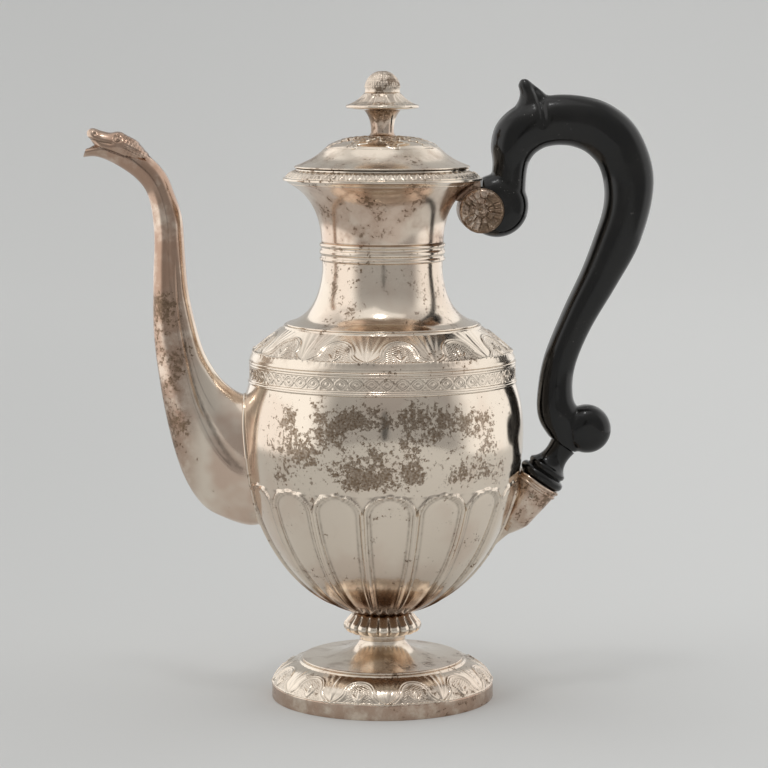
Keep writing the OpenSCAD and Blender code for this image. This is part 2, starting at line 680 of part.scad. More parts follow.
module lower_pin() {
    color("silver") translate(lower_pin_c) rotate([90, 0, 0])
        cylinder(r = handle_pin_r, h = 2 * (cup_r - 1.6), center = true, $fn = 32);
}

// ---------- hinge ----------

module knuckle(y0, y1, bore) {
    translate([hinge_x, y1, hinge_z]) rotate([90, 0, 0]) difference() {
        cylinder(r = barrel_r, h = y1 - y0, $fn = 48);
        translate([0, 0, -1]) cylinder(r = bore, h = y1 - y0 + 2, $fn = 48);
    }
}

module hinge_knuckles() {
    inner = knuckle_len / 2 + 0.3;
    color("silver") for (y = [-hinge_len / 2, inner]) {
        y1 = y + hinge_len / 2 - inner;
        knuckle(y, y1, hinge_pin_r);
        difference() {
            translate([hinge_x - 1.3, y, notch_floor]) cube([2.6, y1 - y, hinge_z - notch_floor]);
            translate([hinge_x, y - 1, hinge_z]) rotate([-90, 0, 0])
                cylinder(r = barrel_r - 0.3, h = y1 - y + 2, $fn = 48);
        }
    }
}

module hinge_pin() {
    color("silver") translate([hinge_x, 0, hinge_z]) rotate([90, 0, 0])
        cylinder(r = hinge_pin_r, h = hinge_len, center = true, $fn = 48);
}

module lid_knuckle() {
    half = knuckle_len / 2;
    color("silver") union() {
        knuckle(-half, half, hinge_pin_r + hinge_play);
        difference() {
            translate([hinge_x - 1.8, -half, hinge_z + 0.4])
                cube([1.8, knuckle_len, z_lid - hinge_z - 0.4]);
            translate([hinge_x, half + 1, hinge_z]) rotate([90, 0, 0])
                cylinder(r = barrel_r - 0.3, h = knuckle_len + 2, $fn = 48);
        }
    }
}

// ---------- lid ----------

// The dome's outer surface: a hollow sweep off the edge, then the crown.
lid_top = z_lid + bezel_flange;
waist = [lid_r * 0.68, lid_top + dome_h * 0.59];
lid_out = concat([[lid_r, lid_top + lid_edge]],
    curve([lid_r - 0.4, lid_top + lid_edge + 0.2], [lid_r * 0.78, lid_top + dome_h * 0.3], waist),
    curve(waist + [-0.8, 0.7], [lid_r * 0.54, lid_top + dome_h - 0.4], [6, z_crown], 6));

// Cuts the edge straight over the hinge's axis.
module hinge_cut() {
    translate([hinge_x, -lid_r, z_lid - 1]) cube([10, 2 * lid_r, 20]);
}

module lid_cover() {
    t = 0.9;
    in = [for (p = lid_out) if (p[0] < lid_r - 2.5) p - [0, t]];
    color("silver") difference() {
        turned(concat([[lid_r - 2, lid_top], [lid_r, lid_top]], lid_out,
            [[0, z_crown], [0, z_crown - t]], reversed(in)));
        translate([0, 0, z_crown - 3]) cylinder(r = stud_r + seat, h = 6);
        hinge_cut();
    }
}

module lid_bezel() {
    low = z_lid - bezel_h;
    color("silver") difference() {
        turned([[bezel_r - bezel_t, low], [bezel_r - 0.2, low], [bezel_r, low + 0.3],
            [bezel_r, z_lid], [lid_r - 0.5, z_lid], [lid_r - 0.5, lid_top],
            [bezel_r - bezel_t, lid_top]]);
        hinge_cut();
        // The wall is cut away behind the hinge, so that it clears the mouth as the lid opens.
        translate([0, -notch_w / 2 - 3, low - 1]) cube([lid_r, notch_w + 6, bezel_h + 1]);
    }
}

// Leaf rosette: eight pointed leaves that lie on the dome.
module lid_rosette() {
    leaves = 8;
    t = 0.7;
    outline = [for (i = [0:leaves * 8 - 1]) let (a = 360 * i / (leaves * 8),
        f = abs(sin(a * leaves / 2)), r = rosette_r * (0.62 + 0.38 * pow(f, 1.5)))
        r * [cos(a), sin(a)]];
    skin_out = [for (p = lid_out) if (p[0] < lid_r - 5) p + [0, seat]];
    color("silver") intersection() {
        turned(concat([[6.6, z_crown + seat], [6.6, z_crown + t + seat]],
            [for (p = reversed(skin_out)) p + [0, t]],
            [for (p = skin_out) if (p[0] > 6.6) p]));
        difference() {
            translate([0, 0, z_lid]) linear_extrude(2 * dome_h) polygon(outline);
            translate([0, 0, z_lid]) cylinder(r = 6.7, h = 2 * dome_h);
        }
    }
}

// ---------- finial ----------

module stud_bore(z0, z1) {
    translate([0, 0, z0]) cylinder(r = stud_r + seat, h = z1 - z0, $fn = 48);
}

module finial_stem() {
    color("silver") difference() {
        turned(concat([[0, z_crown], [6.4, z_crown], [6.4, z_crown + 0.8], [5.6, z_crown + 1.2]],
            curve([5.1, z_crown + 2.2], [4.8, z_cap - 3.6], [8, z_cap], 6), [[0, z_cap]]));
        stud_bore(z_crown - 1, z_cap + 1);
    }
}

module finial_cap() {
    color("silver") difference() {
        turned(concat([[0, z_cap], [8, z_cap], [cap_r - 0.6, z_cap + 0.9],
            [cap_r, z_cap + 1.3], [cap_r, z_cap + 1.8]],
            curve([cap_r - 0.4, z_cap + 2.2], [cap_r - 5, z_cap + 3.6],
                [ball_r + 0.6, z_ball - 0.8], 6), [[ball_r + 0.2, z_ball], [0, z_ball]]));
        stud_bore(z_cap - 1, z_ball + 1);
    }
}

module finial_ball() {
    z_mid = z_ball + 1.8;
    color("silver") difference() {
        turned(concat([[0, z_ball], [ball_r - 0.3, z_ball], [ball_r, z_ball + 0.5],
            [ball_r - 0.3, z_ball + 1.1]], arc([0, z_mid], ball_r, -2, 90, 12)));
        stud_bore(z_ball - 1, z_ball + 4.1);
    }
}

module finial_stud() {
    color("silver") translate([0, 0, z_crown - 6.4])
        cylinder(r = stud_r, h = z_ball + 4 - z_crown + 6.4, $fn = 48);
}

module finial_nut() {
    color("silver") difference() {
        translate([0, 0, z_crown - 0.9 - 2.4]) cylinder(r = 3.4, h = 2.4, $fn = 6);
        stud_bore(z_crown - 8, z_crown);
    }
}

foot_band();
foot_border();
pedestal();
stem_collar();
bowl();
belt_wires();
belt_strip();
shoulder();
neck_lower();
neck_ring();
neck_upper();
rim_band();
spout_tube();
spout_head();
upper_socket();
socket_rosettes();
upper_pin();
handle_grip();
lower_socket();
lower_pin();
hinge_knuckles();
hinge_pin();
lid_cover();
lid_bezel();
lid_knuckle();
lid_rosette();
finial_stem();
finial_cap();
finial_ball();
finial_stud();
finial_nut();
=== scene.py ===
import json
import math

import bpy
import numpy as np
from mathutils import Matrix, Vector


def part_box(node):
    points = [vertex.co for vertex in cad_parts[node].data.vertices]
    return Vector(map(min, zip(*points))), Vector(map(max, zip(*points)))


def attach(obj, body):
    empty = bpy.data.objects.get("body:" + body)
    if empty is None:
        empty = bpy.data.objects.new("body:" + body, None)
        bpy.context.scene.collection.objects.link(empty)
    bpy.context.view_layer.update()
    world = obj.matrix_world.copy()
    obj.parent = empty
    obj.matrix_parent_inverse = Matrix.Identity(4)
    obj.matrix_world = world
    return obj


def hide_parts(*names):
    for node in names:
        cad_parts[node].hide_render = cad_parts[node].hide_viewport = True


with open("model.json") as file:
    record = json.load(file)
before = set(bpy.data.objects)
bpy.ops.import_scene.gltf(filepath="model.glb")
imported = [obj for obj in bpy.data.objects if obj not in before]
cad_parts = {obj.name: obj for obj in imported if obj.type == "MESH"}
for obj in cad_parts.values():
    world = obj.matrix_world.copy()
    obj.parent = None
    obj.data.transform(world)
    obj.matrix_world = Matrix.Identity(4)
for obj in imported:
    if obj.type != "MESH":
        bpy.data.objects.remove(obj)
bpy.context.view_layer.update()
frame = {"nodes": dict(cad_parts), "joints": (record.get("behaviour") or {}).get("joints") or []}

# Lengths below are millimetres in the part's frame, and angles are radians.
MM = 0.001
TAU = 2 * math.pi
FRONT = -math.pi / 2


def box(node):
    """A CAD node's lowest and highest corner."""
    return [np.array(v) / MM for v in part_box(node)]


def heights(node):
    """The heights of a CAD node's underside and top."""
    return [corner[2] for corner in box(node)]


# Heights and radii read from the frame.
z_border, z_plate, z_collar, z_bowl, z_neck_up, z_ball, z_tip = (
    heights(node)[1] for node in ("foot_band", "foot_border", "pedestal", "stem_collar",
                                  "neck_ring", "finial_cap", "finial_ball"))
z_belt, z_shoulder = heights("belt_wires")
z_neck, z_ring = heights("neck_lower")
z_rim, z_rim_top = heights("rim_band")
z_lid = heights("lid_cover")[0]
z_crown, z_cap = heights("finial_stem")
foot_r, rim_r = box("foot_band")[1][0], box("rim_band")[1][1]
hinge_x = frame["joints"][0]["pos_m"][0] / MM

# The CAD model's other sizes.
WALL, BOWL_WALL, SPOUT_WALL = 1.0, 1.2, 0.8
bowl_r = 62.9
bowl_low_h, bowl_up_h, bowl_seat_r = 82.2, 21.5, 13.0
z_wide = z_bowl + bowl_low_h
belt_r, neck_foot_r, neck_r, stem_r, plate_r = 58.4, 42.6, 26.7, 10.2, 36.1
mouth_r, cap_r, ball_r = 36.6, 16.2, 8.0
lid_r = mouth_r + 2.4
strip_r, z_seam = belt_r - 0.05, (z_belt + z_shoulder) / 2


# ---------- outlines ----------

def quad(a, b, c, n=20):
    """Points of a quadratic curve from a to c that leans towards b."""
    t = np.linspace(0, 1, n + 1)[:, None]
    a, b, c = (np.array(p, float) for p in (a, b, c))
    return (1 - t) ** 2 * a + 2 * t * (1 - t) * b + t * t * c


def arc(c, r, a0, a1, n=12):
    """Points of an arc about c, its angles in degrees."""
    a = np.radians(np.linspace(a0, a1, n + 1))
    return np.stack([c[0] + r * np.cos(a), c[1] + r * np.sin(a)], 1)


def soften(points, fillet=0.3, closed=True):
    """The outline with each sharp corner turned into a small curve."""
    p = np.array(points, float)
    out, n = [], len(p)
    for i in range(n):
        if not closed and i in (0, n - 1):
            out.append(p[i])
            continue
        before, after = p[i] - p[i - 1], p[(i + 1) % n] - p[i]
        lb, la = np.hypot(*before), np.hypot(*after)
        if lb < 1e-6 or la < 1e-6:
            continue
        turn = math.degrees(math.acos(np.clip(before @ after / lb / la, -1, 1)))
        if turn < 16:
            out.append(p[i])
            continue
        cut = min(fillet, 0.45 * lb, 0.45 * la)
        out.extend(quad(p[i] - before / lb * cut, p[i], p[i] + after / la * cut, 4))
    return np.array(out)


def fill(points, step, closed=False):
    """The outline with no gap longer than step."""
    p = np.array(points, float)
    q = np.vstack([p, p[:1]]) if closed else p
    out = []
    for a, b in zip(q[:-1], q[1:]):
        n = max(1, math.ceil(np.hypot(*(b - a)) / step))
        out.extend(a + (b - a) * k / n for k in range(n))
    if not closed:
        out.append(q[-1])
    return np.array(out)


def fill_even(p, step):
    """The outline in even steps, each about step long."""
    s = np.r_[0, np.cumsum(np.hypot(*np.diff(p, axis=0).T))]
    t = np.linspace(0, s[-1], max(2, round(s[-1] / step)) + 1)
    return np.stack([np.interp(t, s, p[:, 0]), np.interp(t, s, p[:, 1])], 1)


def through(stations, steps):
    """A smooth curve through the stations, with so many steps from each to the next."""
    p = np.array(stations, float)
    n = len(p) - 1
    t = np.linspace(0, n, n * steps + 1)
    i = np.minimum(np.floor(t).astype(int), n - 1)
    f = (t - i)[:, None]
    p0, p1, p2, p3 = p[np.maximum(i - 1, 0)], p[i], p[i + 1], p[np.minimum(i + 2, n)]
    return 0.5 * (2 * p1 + f * (p2 - p0) + f ** 2 * (2 * p0 - 5 * p1 + 4 * p2 - p3)
                  + f ** 3 * (3 * p1 - p0 - 3 * p2 + p3))


def turns(count):
    """So many angles, evenly round a circle."""
    return np.arange(count) / count * TAU


# ---------- meshes ----------

def grid_faces(rows, cols, closed):
    """The four-sided faces between rings of points."""
    i = np.arange(rows if closed else rows - 1)[:, None]
    j = np.arange(cols)[None, :]
    k, up = (j + 1) % cols, ((i + 1) % rows) * cols
    return np.stack([i * cols + j, i * cols + k, up + k, up + j], -1).reshape(-1, 4)


def placed(name, data):
    """A new object in the scene."""
    o = bpy.data.objects.new(name, data)
    bpy.context.scene.collection.objects.link(o)
    return o


def make(name, verts, faces, dark=None):
    """A smooth mesh piece from points in millimetres; dark says how deep in a recess each lies, and
    also carries the painted shadow under the lid's brim.
    """
    mesh = bpy.data.meshes.new(name)
    faces = faces.tolist() if isinstance(faces, np.ndarray) else faces
    mesh.from_pydata(np.asarray(verts) * MM, [], faces)
    mesh.shade_smooth()
    attribute = mesh.attributes.new("dark", "FLOAT", "POINT")
    if dark is not None:
        attribute.data.foreach_set("value", np.asarray(dark, np.float32).ravel())
    return placed(name, mesh)


def lathe(name, stretches, cols=360, closed=True, place=None):
    """Turns an outline round +Z, with the metal on its left. It comes in stretches, each a list
    of points or a pair of points and relief. A relief gives a height off the surface and a
    darkness from the angle, the distance along the stretch, its length and the radius."""
    angle = turns(cols)[None, :]
    stretches = [s if isinstance(s, tuple) else (s, None) for s in stretches]
    p = np.vstack([np.asarray(points, float) for points, _ in stretches])
    lift, dark = np.zeros((len(p), cols)), np.zeros((len(p), cols))
    start = 0
    for points, relief in stretches:
        q = np.asarray(points, float)
        if relief:
            along = np.r_[0, np.cumsum(np.hypot(*np.diff(q, axis=0).T))][:, None]
            h, d = relief(angle, along, along[-1, 0], q[:, :1])
            lift[start:start + len(q)], dark[start:start + len(q)] = h, d
        start += len(q)
    if closed:
        t = np.roll(p, -1, 0) - np.roll(p, 1, 0)
    else:
        t = np.gradient(p, axis=0)
    t /= np.maximum(np.hypot(*t.T), 1e-9)[:, None]
    r = np.maximum(p[:, :1] + t[:, 1:] * lift, 0.004)
    z = p[:, 1:] - t[:, :1] * lift
    verts = np.stack([r * np.cos(angle), r * np.sin(angle), z + 0 * angle], -1).reshape(-1, 3)
    if place is not None:
        m = np.array(place)
        verts = verts @ m[:3, :3].T + m[:3, 3]
    return make(name, verts, grid_faces(len(p), cols, closed), dark)


def sweep(stations, sides, steps, square=1.0, grow=0.0):
    """Rings of ovals along a sweep. Each station is [x, z] and [x, z] of its two edges and its
    half width, and each oval is larger all round by grow."""
    s = through(stations, steps)
    a, b = s[:, [0, 1]], s[:, [2, 3]]
    mid, half = (a + b) / 2, np.hypot(*(b - a).T)[:, None] / 2
    u = (b - a) / (2 * half)
    w = turns(sides)
    c, d = (np.sign(v) * np.abs(v) ** square for v in (np.cos(w), np.sin(w)))
    half = half + grow
    return np.stack([mid[:, :1] + u[:, :1] * half * c, (s[:, 4:5] + grow) * d,
                     mid[:, 1:] + u[:, 1:] * half * c], -1)


def skin(name, rings, dark=None):
    """A closed skin over the rings, with a fan over each end."""
    n, sides = rings.shape[:2]
    verts = np.vstack([rings.reshape(-1, 3), rings[0].mean(0), rings[-1].mean(0)])
    faces = grid_faces(n, sides, False).tolist()
    last = (n - 1) * sides
    for j in range(sides):
        k = (j + 1) % sides
        faces.append((k, j, n * sides))
        faces.append((last + j, last + k, n * sides + 1))
    shade = None if dark is None else np.r_[dark.ravel(), dark[0].mean(), dark[-1].mean()]
    return make(name, verts, faces, shade)


def applied(piece):
    """Applies the piece's modifiers."""
    graph = bpy.context.evaluated_depsgraph_get()
    mesh = bpy.data.meshes.new_from_object(piece.evaluated_get(graph))
    piece.modifiers.clear()
    piece.data = mesh
    return piece


def smoothed(piece, times):
    m = piece.modifiers.new("smooth", "SMOOTH")
    m.factor, m.iterations = 0.5, times
    return applied(piece)


def welded(piece):
    """Merges the points that meet on the axis."""
    m = piece.modifiers.new("weld", "WELD")
    m.merge_threshold = 0.02 * MM
    return applied(piece)


def cut(piece, cutter, operation="DIFFERENCE"):
    """Takes the cutter out of the piece, or joins or intersects the two, and deletes it."""
    m = piece.modifiers.new("cut", "BOOLEAN")
    m.operation, m.object, m.solver = operation, cutter, "MANIFOLD"
    applied(piece)
    bpy.data.objects.remove(cutter)
    return piece


def crisp(piece, degrees=40):
    """Smooth shading that breaks at true edges."""
    piece.data.shade_smooth()
    piece.data.set_sharp_from_angle(angle=math.radians(degrees))
    return piece


LYING = Matrix.Rotation(math.pi / 2, 4, "X")


def cylinder(name, centre, radius, half, turn=LYING, cols=128):
    """A plain closed cylinder about centre, for cutting. It lies along Y unless turn differs."""
    rings = np.array([[[radius * math.cos(a), radius * math.sin(a), z] for a in turns(cols)]
                      for z in (-half, half)])
    return skin(name, rings @ np.array(turn)[:3, :3].T + np.array(centre))


def block(name, low, high):
    """A box between two corners, for cutting."""
    (x0, y0, z0), (x1, y1, z1) = low, high
    return skin(name, np.array([[[x0, y0, z], [x1, y0, z], [x1, y1, z], [x0, y1, z]]
                                for z in (z0, z1)]))


# ---------- materials ----------

class Shader:
    """Builds the nodes of a material or world: each call adds one and returns it or its output."""

    def __init__(self, owner):
        owner.use_nodes = True
        self.owner, self.tree = owner, owner.node_tree

    def set(self, node, **values):
        for key, value in values.items():
            key = int(key[1:]) if key[0] == "_" else key.replace("_", " ")
            socket = node.inputs[key]
            if isinstance(value, bpy.types.NodeSocket):
                self.tree.links.new(value, socket)
            else:
                socket.default_value = value
        return node

    def add(self, kind, settings=None, **values):
        node = self.tree.nodes.new("ShaderNode" + kind)
        for key, value in (settings or {}).items():
            setattr(node, key, value)
        return self.set(node, **values)

    def noise(self, at, scale, detail=5.0, rough=0.6):
        return self.add("TexNoise", Vector=at, Scale=scale, Detail=detail,
                        Roughness=rough).outputs["Fac"]

    def step(self, value, low, high):
        """0 below low, 1 above high, smooth between."""
        node = self.add("MapRange", {"interpolation_type": "SMOOTHSTEP"}, Value=value)
        self.set(node, _1=low, _2=high)
        return node.outputs[0]

    def fade(self, value, low, high):
        """1 below low, 0 above high, smooth between."""
        return self.less(1.0, self.step(value, low, high))

    def math(self, how, a, b=0.0, clamp=False):
        return self.add("Math", {"operation": how, "use_clamp": clamp}, _0=a, _1=b).outputs[0]

    def plus(self, a, b, clamp=True):
        return self.math("ADD", a, b, clamp)

    def less(self, a, b):
        return self.math("SUBTRACT", a, b)

    def times(self, a, b):
        return self.math("MULTIPLY", a, b)

    def mix(self, factor, a, b):
        return self.add("Mix", {"data_type": "RGBA"}, _0=factor, _6=a, _7=b).outputs[2]

    def place(self):
        return self.add("TexCoord").outputs["Object"]

    def parts(self, vector):
        return self.add("SeparateXYZ", Vector=vector).outputs

    def surface(self, **values):
        """Sets the material's surface and returns the material."""
        self.set(self.tree.nodes["Principled BSDF"], **values)
        return self.owner


def rgb(r, g, b):
    return (r, g, b, 1.0)


# Old silver where it is clean, dull, warm, stained, specked, coppery, and dirty in its hollows,
# where the same darkening also carries the painted shadow under the lid's brim.
CLEAN, DULL = rgb(0.82, 0.722, 0.610), rgb(0.62, 0.522, 0.425)
WARM, STAINED = rgb(0.66, 0.50, 0.40), rgb(0.36, 0.212, 0.142)
SPECK_DARK, SPECK_PALE = rgb(0.135, 0.088, 0.055), rgb(0.27, 0.19, 0.125)
COPPERY, DIRT_AND_SHADE = rgb(0.225, 0.140, 0.09), rgb(0.125, 0.092, 0.066)
COPPER_Z = (36 * MM, 49 * MM)


def silver(name, rough, haze, pink, spots, brown=0.0, band=None, reach=0, beyond=0, low=0.0):
    """Old silver. haze is how much of it has gone dull, pink how warm that bloom is, brown a
    stain, spots how much dark speckle it carries between the heights in band, and low how coppery
    the foot of the bowl is. On the upper socket, stain and speckle also stand in for painted shade.
    The speckle lies within reach of the middle, and both it and the stain lie further out than
    beyond."""
    s = Shader(bpy.data.materials.new(name))
    at = s.place()
    x, _, z = s.parts(at)
    recess = s.add("Attribute", {"attribute_name": "dark"}).outputs["Fac"]
    out = s.math("ABSOLUTE", x)
    outer = s.step(out, (beyond - 6) * MM, (beyond + 8) * MM) if beyond else 1.0
    broad = s.noise(at, 30.0, 3.0)
    cloudy = s.noise(at, 90.0, 6.0, 0.62)
    fine = s.noise(at, 520.0, 9.0, 0.72)
    grain = s.noise(at, 2200.0, 3.0)

    colour = s.mix(s.step(cloudy, 0.66 - 0.3 * haze, 0.92 - 0.3 * haze), CLEAN, DULL)
    bloom = s.plus(s.step(broad, 0.44, 0.62), s.times(outer, 0.5 * pink ** 2))
    colour = s.mix(s.times(bloom, 0.2 + 0.7 * pink), colour, WARM)
    if brown:
        stain = s.times(s.step(cloudy, 0.5 - 0.3 * brown, 0.75 - 0.3 * brown), brown)
        colour = s.mix(s.times(stain, outer), colour, STAINED)

    mixed = s.plus(s.times(cloudy, 0.4), s.times(fine, 0.6))
    where = s.step(broad, 0.36, 0.56)
    if band:
        low_z, high_z = band[0] * MM, band[1] * MM
        where = s.times(s.plus(where, 0.35), s.step(z, low_z - 5 * MM, low_z + 7 * MM))
        where = s.times(where, s.fade(z, high_z - 8 * MM, high_z + 5 * MM))
    if reach:
        where = s.times(where, s.fade(out, (reach - 12) * MM, (reach + 6) * MM))
    where = s.times(where, outer)
    denser = s.less(mixed, s.times(s.less(1.0, where), 0.13))
    specks = s.step(denser, 0.560 - 0.095 * spots, 0.580 - 0.095 * spots)
    worn = s.plus(0.62, s.times(s.step(s.noise(at, 1100.0, 4.0, 0.7), 0.40, 0.60), 0.36))
    specks = s.times(specks, worn)
    colour = s.mix(specks, colour, s.mix(s.step(grain, 0.42, 0.62), SPECK_DARK, SPECK_PALE))
    if low:
        wavy = s.less(z, s.times(cloudy, 16 * MM))
        colour = s.mix(s.times(s.fade(wavy, *COPPER_Z), low), colour, COPPERY)
    # The recess darkening is tarnish in the hollows, and on the rim it is also a painted shadow
    # under the lid's brim.
    recess = s.times(recess, s.plus(0.55, s.times(s.step(mixed, 0.45, 0.55), 0.45)))
    colour = s.mix(s.times(recess, 0.86), colour, DIRT_AND_SHADE)

    shine = s.plus(rough, s.times(s.step(cloudy, 0.38, 0.75), 0.04 + 0.12 * haze))
    shine = s.plus(shine, s.times(specks, 0.14))
    shine = s.plus(shine, s.times(recess, 0.16))
    dents = s.add("Bump", Strength=0.16, Distance=0.0006, Height=s.noise(at, 60.0, 2.0))
    pits = s.add("Bump", Strength=0.10, Distance=0.0001, Height=s.plus(fine, grain),
                 Normal=dents.outputs[0])
    return s.surface(Base_Color=colour, Metallic=1.0, Roughness=shine, Normal=pits.outputs[0])


def black_wood(name):
    """Ebonised wood: satin black, worn brown in patches, with pale specks and fine grain."""
    s = Shader(bpy.data.materials.new(name))
    at = s.place()
    stretched = s.add("Mapping", Vector=at, Scale=(1.0, 1.0, 0.16)).outputs[0]
    grain = s.noise(stretched, 900.0, 6.0, 0.6)
    cloudy = s.noise(at, 60.0, 4.0)
    specks = s.noise(at, 700.0, 4.0, 0.7)
    colour = s.mix(s.step(cloudy, 0.4, 0.7), rgb(0.0035, 0.0034, 0.0032),
                   rgb(0.0075, 0.0068, 0.006))
    colour = s.mix(s.times(s.step(grain, 0.55, 0.8), 0.3), colour, rgb(0.022, 0.018, 0.015))
    colour = s.mix(s.times(s.step(specks, 0.655, 0.70), s.step(cloudy, 0.50, 0.60)), colour,
                   rgb(0.16, 0.155, 0.145))
    shine = s.plus(0.10, s.times(s.step(cloudy, 0.35, 0.7), 0.12))
    uneven = s.add("Bump", Strength=0.22, Distance=0.0006, Height=s.noise(at, 45.0, 2.0))
    bump = s.add("Bump", Strength=0.10, Distance=0.0001, Height=grain, Normal=uneven.outputs[0])
    return s.surface(Base_Color=colour, Roughness=shine, Specular_IOR_Level=0.42,
                     Normal=bump.outputs[0])


# The numbers are rough, haze, pink and spots.
BODY = silver("silver_bowl", 0.10, 0.3, 0.2, 1.12, band=(103, 140), reach=50, low=1.0)
PLAIN = silver("silver_plain", 0.13, 0.4, 0.2, 0.12)
CHASED = silver("silver_chased", 0.16, 0.5, 0.15, 0.2)
FLARE = silver("silver_flare", 0.15, 0.6, 0.75, 0.12, brown=0.38)
SPOUT_LOOK = silver("silver_spout", 0.14, 0.35, 1.0, 0.8, brown=0.70, band=(90, 185), beyond=84)
FOOT = silver("silver_foot", 0.2, 0.4, 0.4, 0.2, brown=0.65)
PLATE = silver("silver_plate", 0.15, 0.7, 0.3, 0.15, brown=0.15)
LID = silver("silver_lid", 0.19, 0.75, 0.2, 0.2, brown=0.08)
LOWER = silver("silver_lower", 0.17, 0.6, 0.6, 0.3, brown=0.5)
ROSETTE = silver("silver_rosette", 0.16, 0.8, 0.3, 1.4, brown=0.7)
# Partly painted shade: the upper socket's heavy brown stain and dark speckle are tarnish, and also
# stand in for the shade the socket sits in.
SOCKET = silver("silver_socket_stain_and_shade", 0.22, 0.9, 0.6, 1.3, brown=0.8)
FINIAL = silver("silver_finial", 0.13, 0.4, 0.2, 1.2, brown=0.65)
WOOD = black_wood("ebonised_wood")


def finish(piece, material, slot, *nodes, body="pot"):
    """Gives a piece its look, the CAD nodes it stands for and its body. slot is not used."""
    piece.data.materials.clear()
    piece.data.materials.append(material)
    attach(piece, body)
    if nodes:
        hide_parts(*nodes)
    return piece


# ---------- reliefs ----------

def bell(x, width):
    """A soft ridge of the given half width."""
    return np.exp(-(x / width) ** 2)


def unit(x):
    return np.clip(x, 0, 1)


def step(x, low, high):
    """0 below low, 1 above high, smooth between."""
    s = unit((x - low) / (high - low))
    return s * s * (3 - 2 * s)


def period(angle, count, phase):
    """How far round its own repeat each angle lies, from -0.5 to 0.5."""
    u = (angle - phase) / TAU * count
    return u - np.round(u)


def repeats(angle, radius, count, phase):
    """Millimetres round from the middle of the nearest repeat, and the length of a repeat."""
    pitch = TAU * radius / count
    return period(angle, count, phase) * pitch, pitch


def edges(along, length, width):
    """A fine ridge along both edges of a strip."""
    return bell(along, width) + bell(along - length, width)


PUNCHES = 252


def speckle(angle, along):
    """Punched ground: a steady lattice of dots."""
    return np.sin(angle * PUNCHES) * np.sin(along * 5.2 + 1.2 * np.sin(angle * PUNCHES / 2))


def petal(x, y, at, lean, long, wide):
    """An upright petal on the point at, leaning by lean radians: 1 in its middle, 0 outside."""
    c, n = math.cos(lean), math.sin(lean)
    along, across = (x - at[0]) * n + (y - at[1]) * c, (x - at[0]) * c - (y - at[1]) * n
    v = unit(along / long)
    half = wide * np.sin(np.pi * v ** 0.8) + 0.02
    return step(1 - np.abs(across) / half, 0, 0.7) * (along > 0) * (along < long)


def leaf_border(count, phase, height=0.46):
    """Round arches drawn in two lines, each round a small fleur on a punched ground. Their feet
    sweep out to meet, and a fan of veins opens upwards between them."""
    def relief(angle, along, length, radius):
        x, pitch = repeats(angle, radius, count, phase)
        y = along + 0 * x
        side = pitch / 2 - np.abs(x)
        arch_r, foot_half = 0.285 * pitch, 0.49 * pitch
        springing = 0.72 * length - arch_r
        low = unit(1 - y / springing)
        half = arch_r + (foot_half - arch_r) * low ** 1.7
        slope = 1.7 * (foot_half - arch_r) * low ** 0.7 / springing
        d = np.where(y > springing, np.hypot(side, y - springing) - arch_r,
                     (side - half) / np.sqrt(1 + slope ** 2))
        ridges = bell(d - 0.1, 0.33) + 0.7 * bell(d + 0.95, 0.28)
        inside = step(-d, 1.6, 2.1)
        near = np.copysign(side, x)
        fleur = petal(near, y, (0, 0.6), 0, 0.42 * length, 0.9)
        fleur = fleur + sum(petal(near, y, (0, 0.6), lean, 0.32 * length, 0.75)
                            for lean in (0.62, -0.62))
        fleur = unit(fleur) * inside
        ground = inside * (1 - fleur)
        spread = np.arctan2(x, np.maximum(y + 1.2, 0.05))
        fan = np.cos(spread * TAU / 0.2) * step(y, 1.5, 5) * step(0.62 - np.abs(spread), 0, 0.3)
        outside = step(d, 0.6, 1.2) * step(length - y, 0.3, 1.0)
        edge = edges(y, length, 0.5)
        leaf_long, leaf_half = 0.86 * length, 1.5
        leaf = petal(x, y, (0, 0.4), 0, leaf_long, leaf_half) * outside
        leaf_side = np.abs(x) - leaf_half * np.sin(np.pi * unit(y / leaf_long))
        dots = speckle(angle, along)
        h = height * (ridges + 0.8 * fleur + 0.08 * fan * outside + 0.35 * leaf + edge)
        h = h + 0.13 * dots * ground - 0.14 * ground
        dark = 0.6 * bell(d + 0.42, 0.26) + 0.4 * bell(d - 0.75, 0.28) + 0.45 * bell(d + 1.6, 0.3)
        dark = dark + ground * (0.3 - 0.3 * dots)
        dark = dark + outside * (0.12 * step(-fan, 0.1, 0.9) + 0.35 * bell(leaf_side, 0.3))
        return h, unit(dark - 0.5 * edge)
    return relief


def lozenges(angle, along, length, radius):
    """A chain of rounded lozenges drawn in two lines, each with a bead in it, and beads between."""
    x, pitch = repeats(angle, radius, 56, FRONT)
    y = along - length / 2 + 0 * x
    a, b, k = 0.43 * pitch, 0.42 * length, 1.45
    d = (((np.abs(x) / a) ** k + (np.abs(y) / b) ** k) ** (1 / k) - 1) * a
    middle = np.hypot(x, y)
    dots = bell(np.hypot(pitch / 2 - np.abs(x), np.abs(y) - 0.33 * length), 0.5)
    edge = edges(along, length, 0.35)
    lines = bell(d, 0.34) + 0.8 * bell(d + 0.95, 0.26)
    h = 0.3 * (lines + 1.2 * bell(middle, 0.62) + 0.9 * dots + edge)
    dark = 0.75 * bell(d + 0.5, 0.24) + 0.45 * bell(d - 0.62, 0.3)
    return h, unit(dark + 0.35 * bell(middle - 1.0, 0.3) - edge)


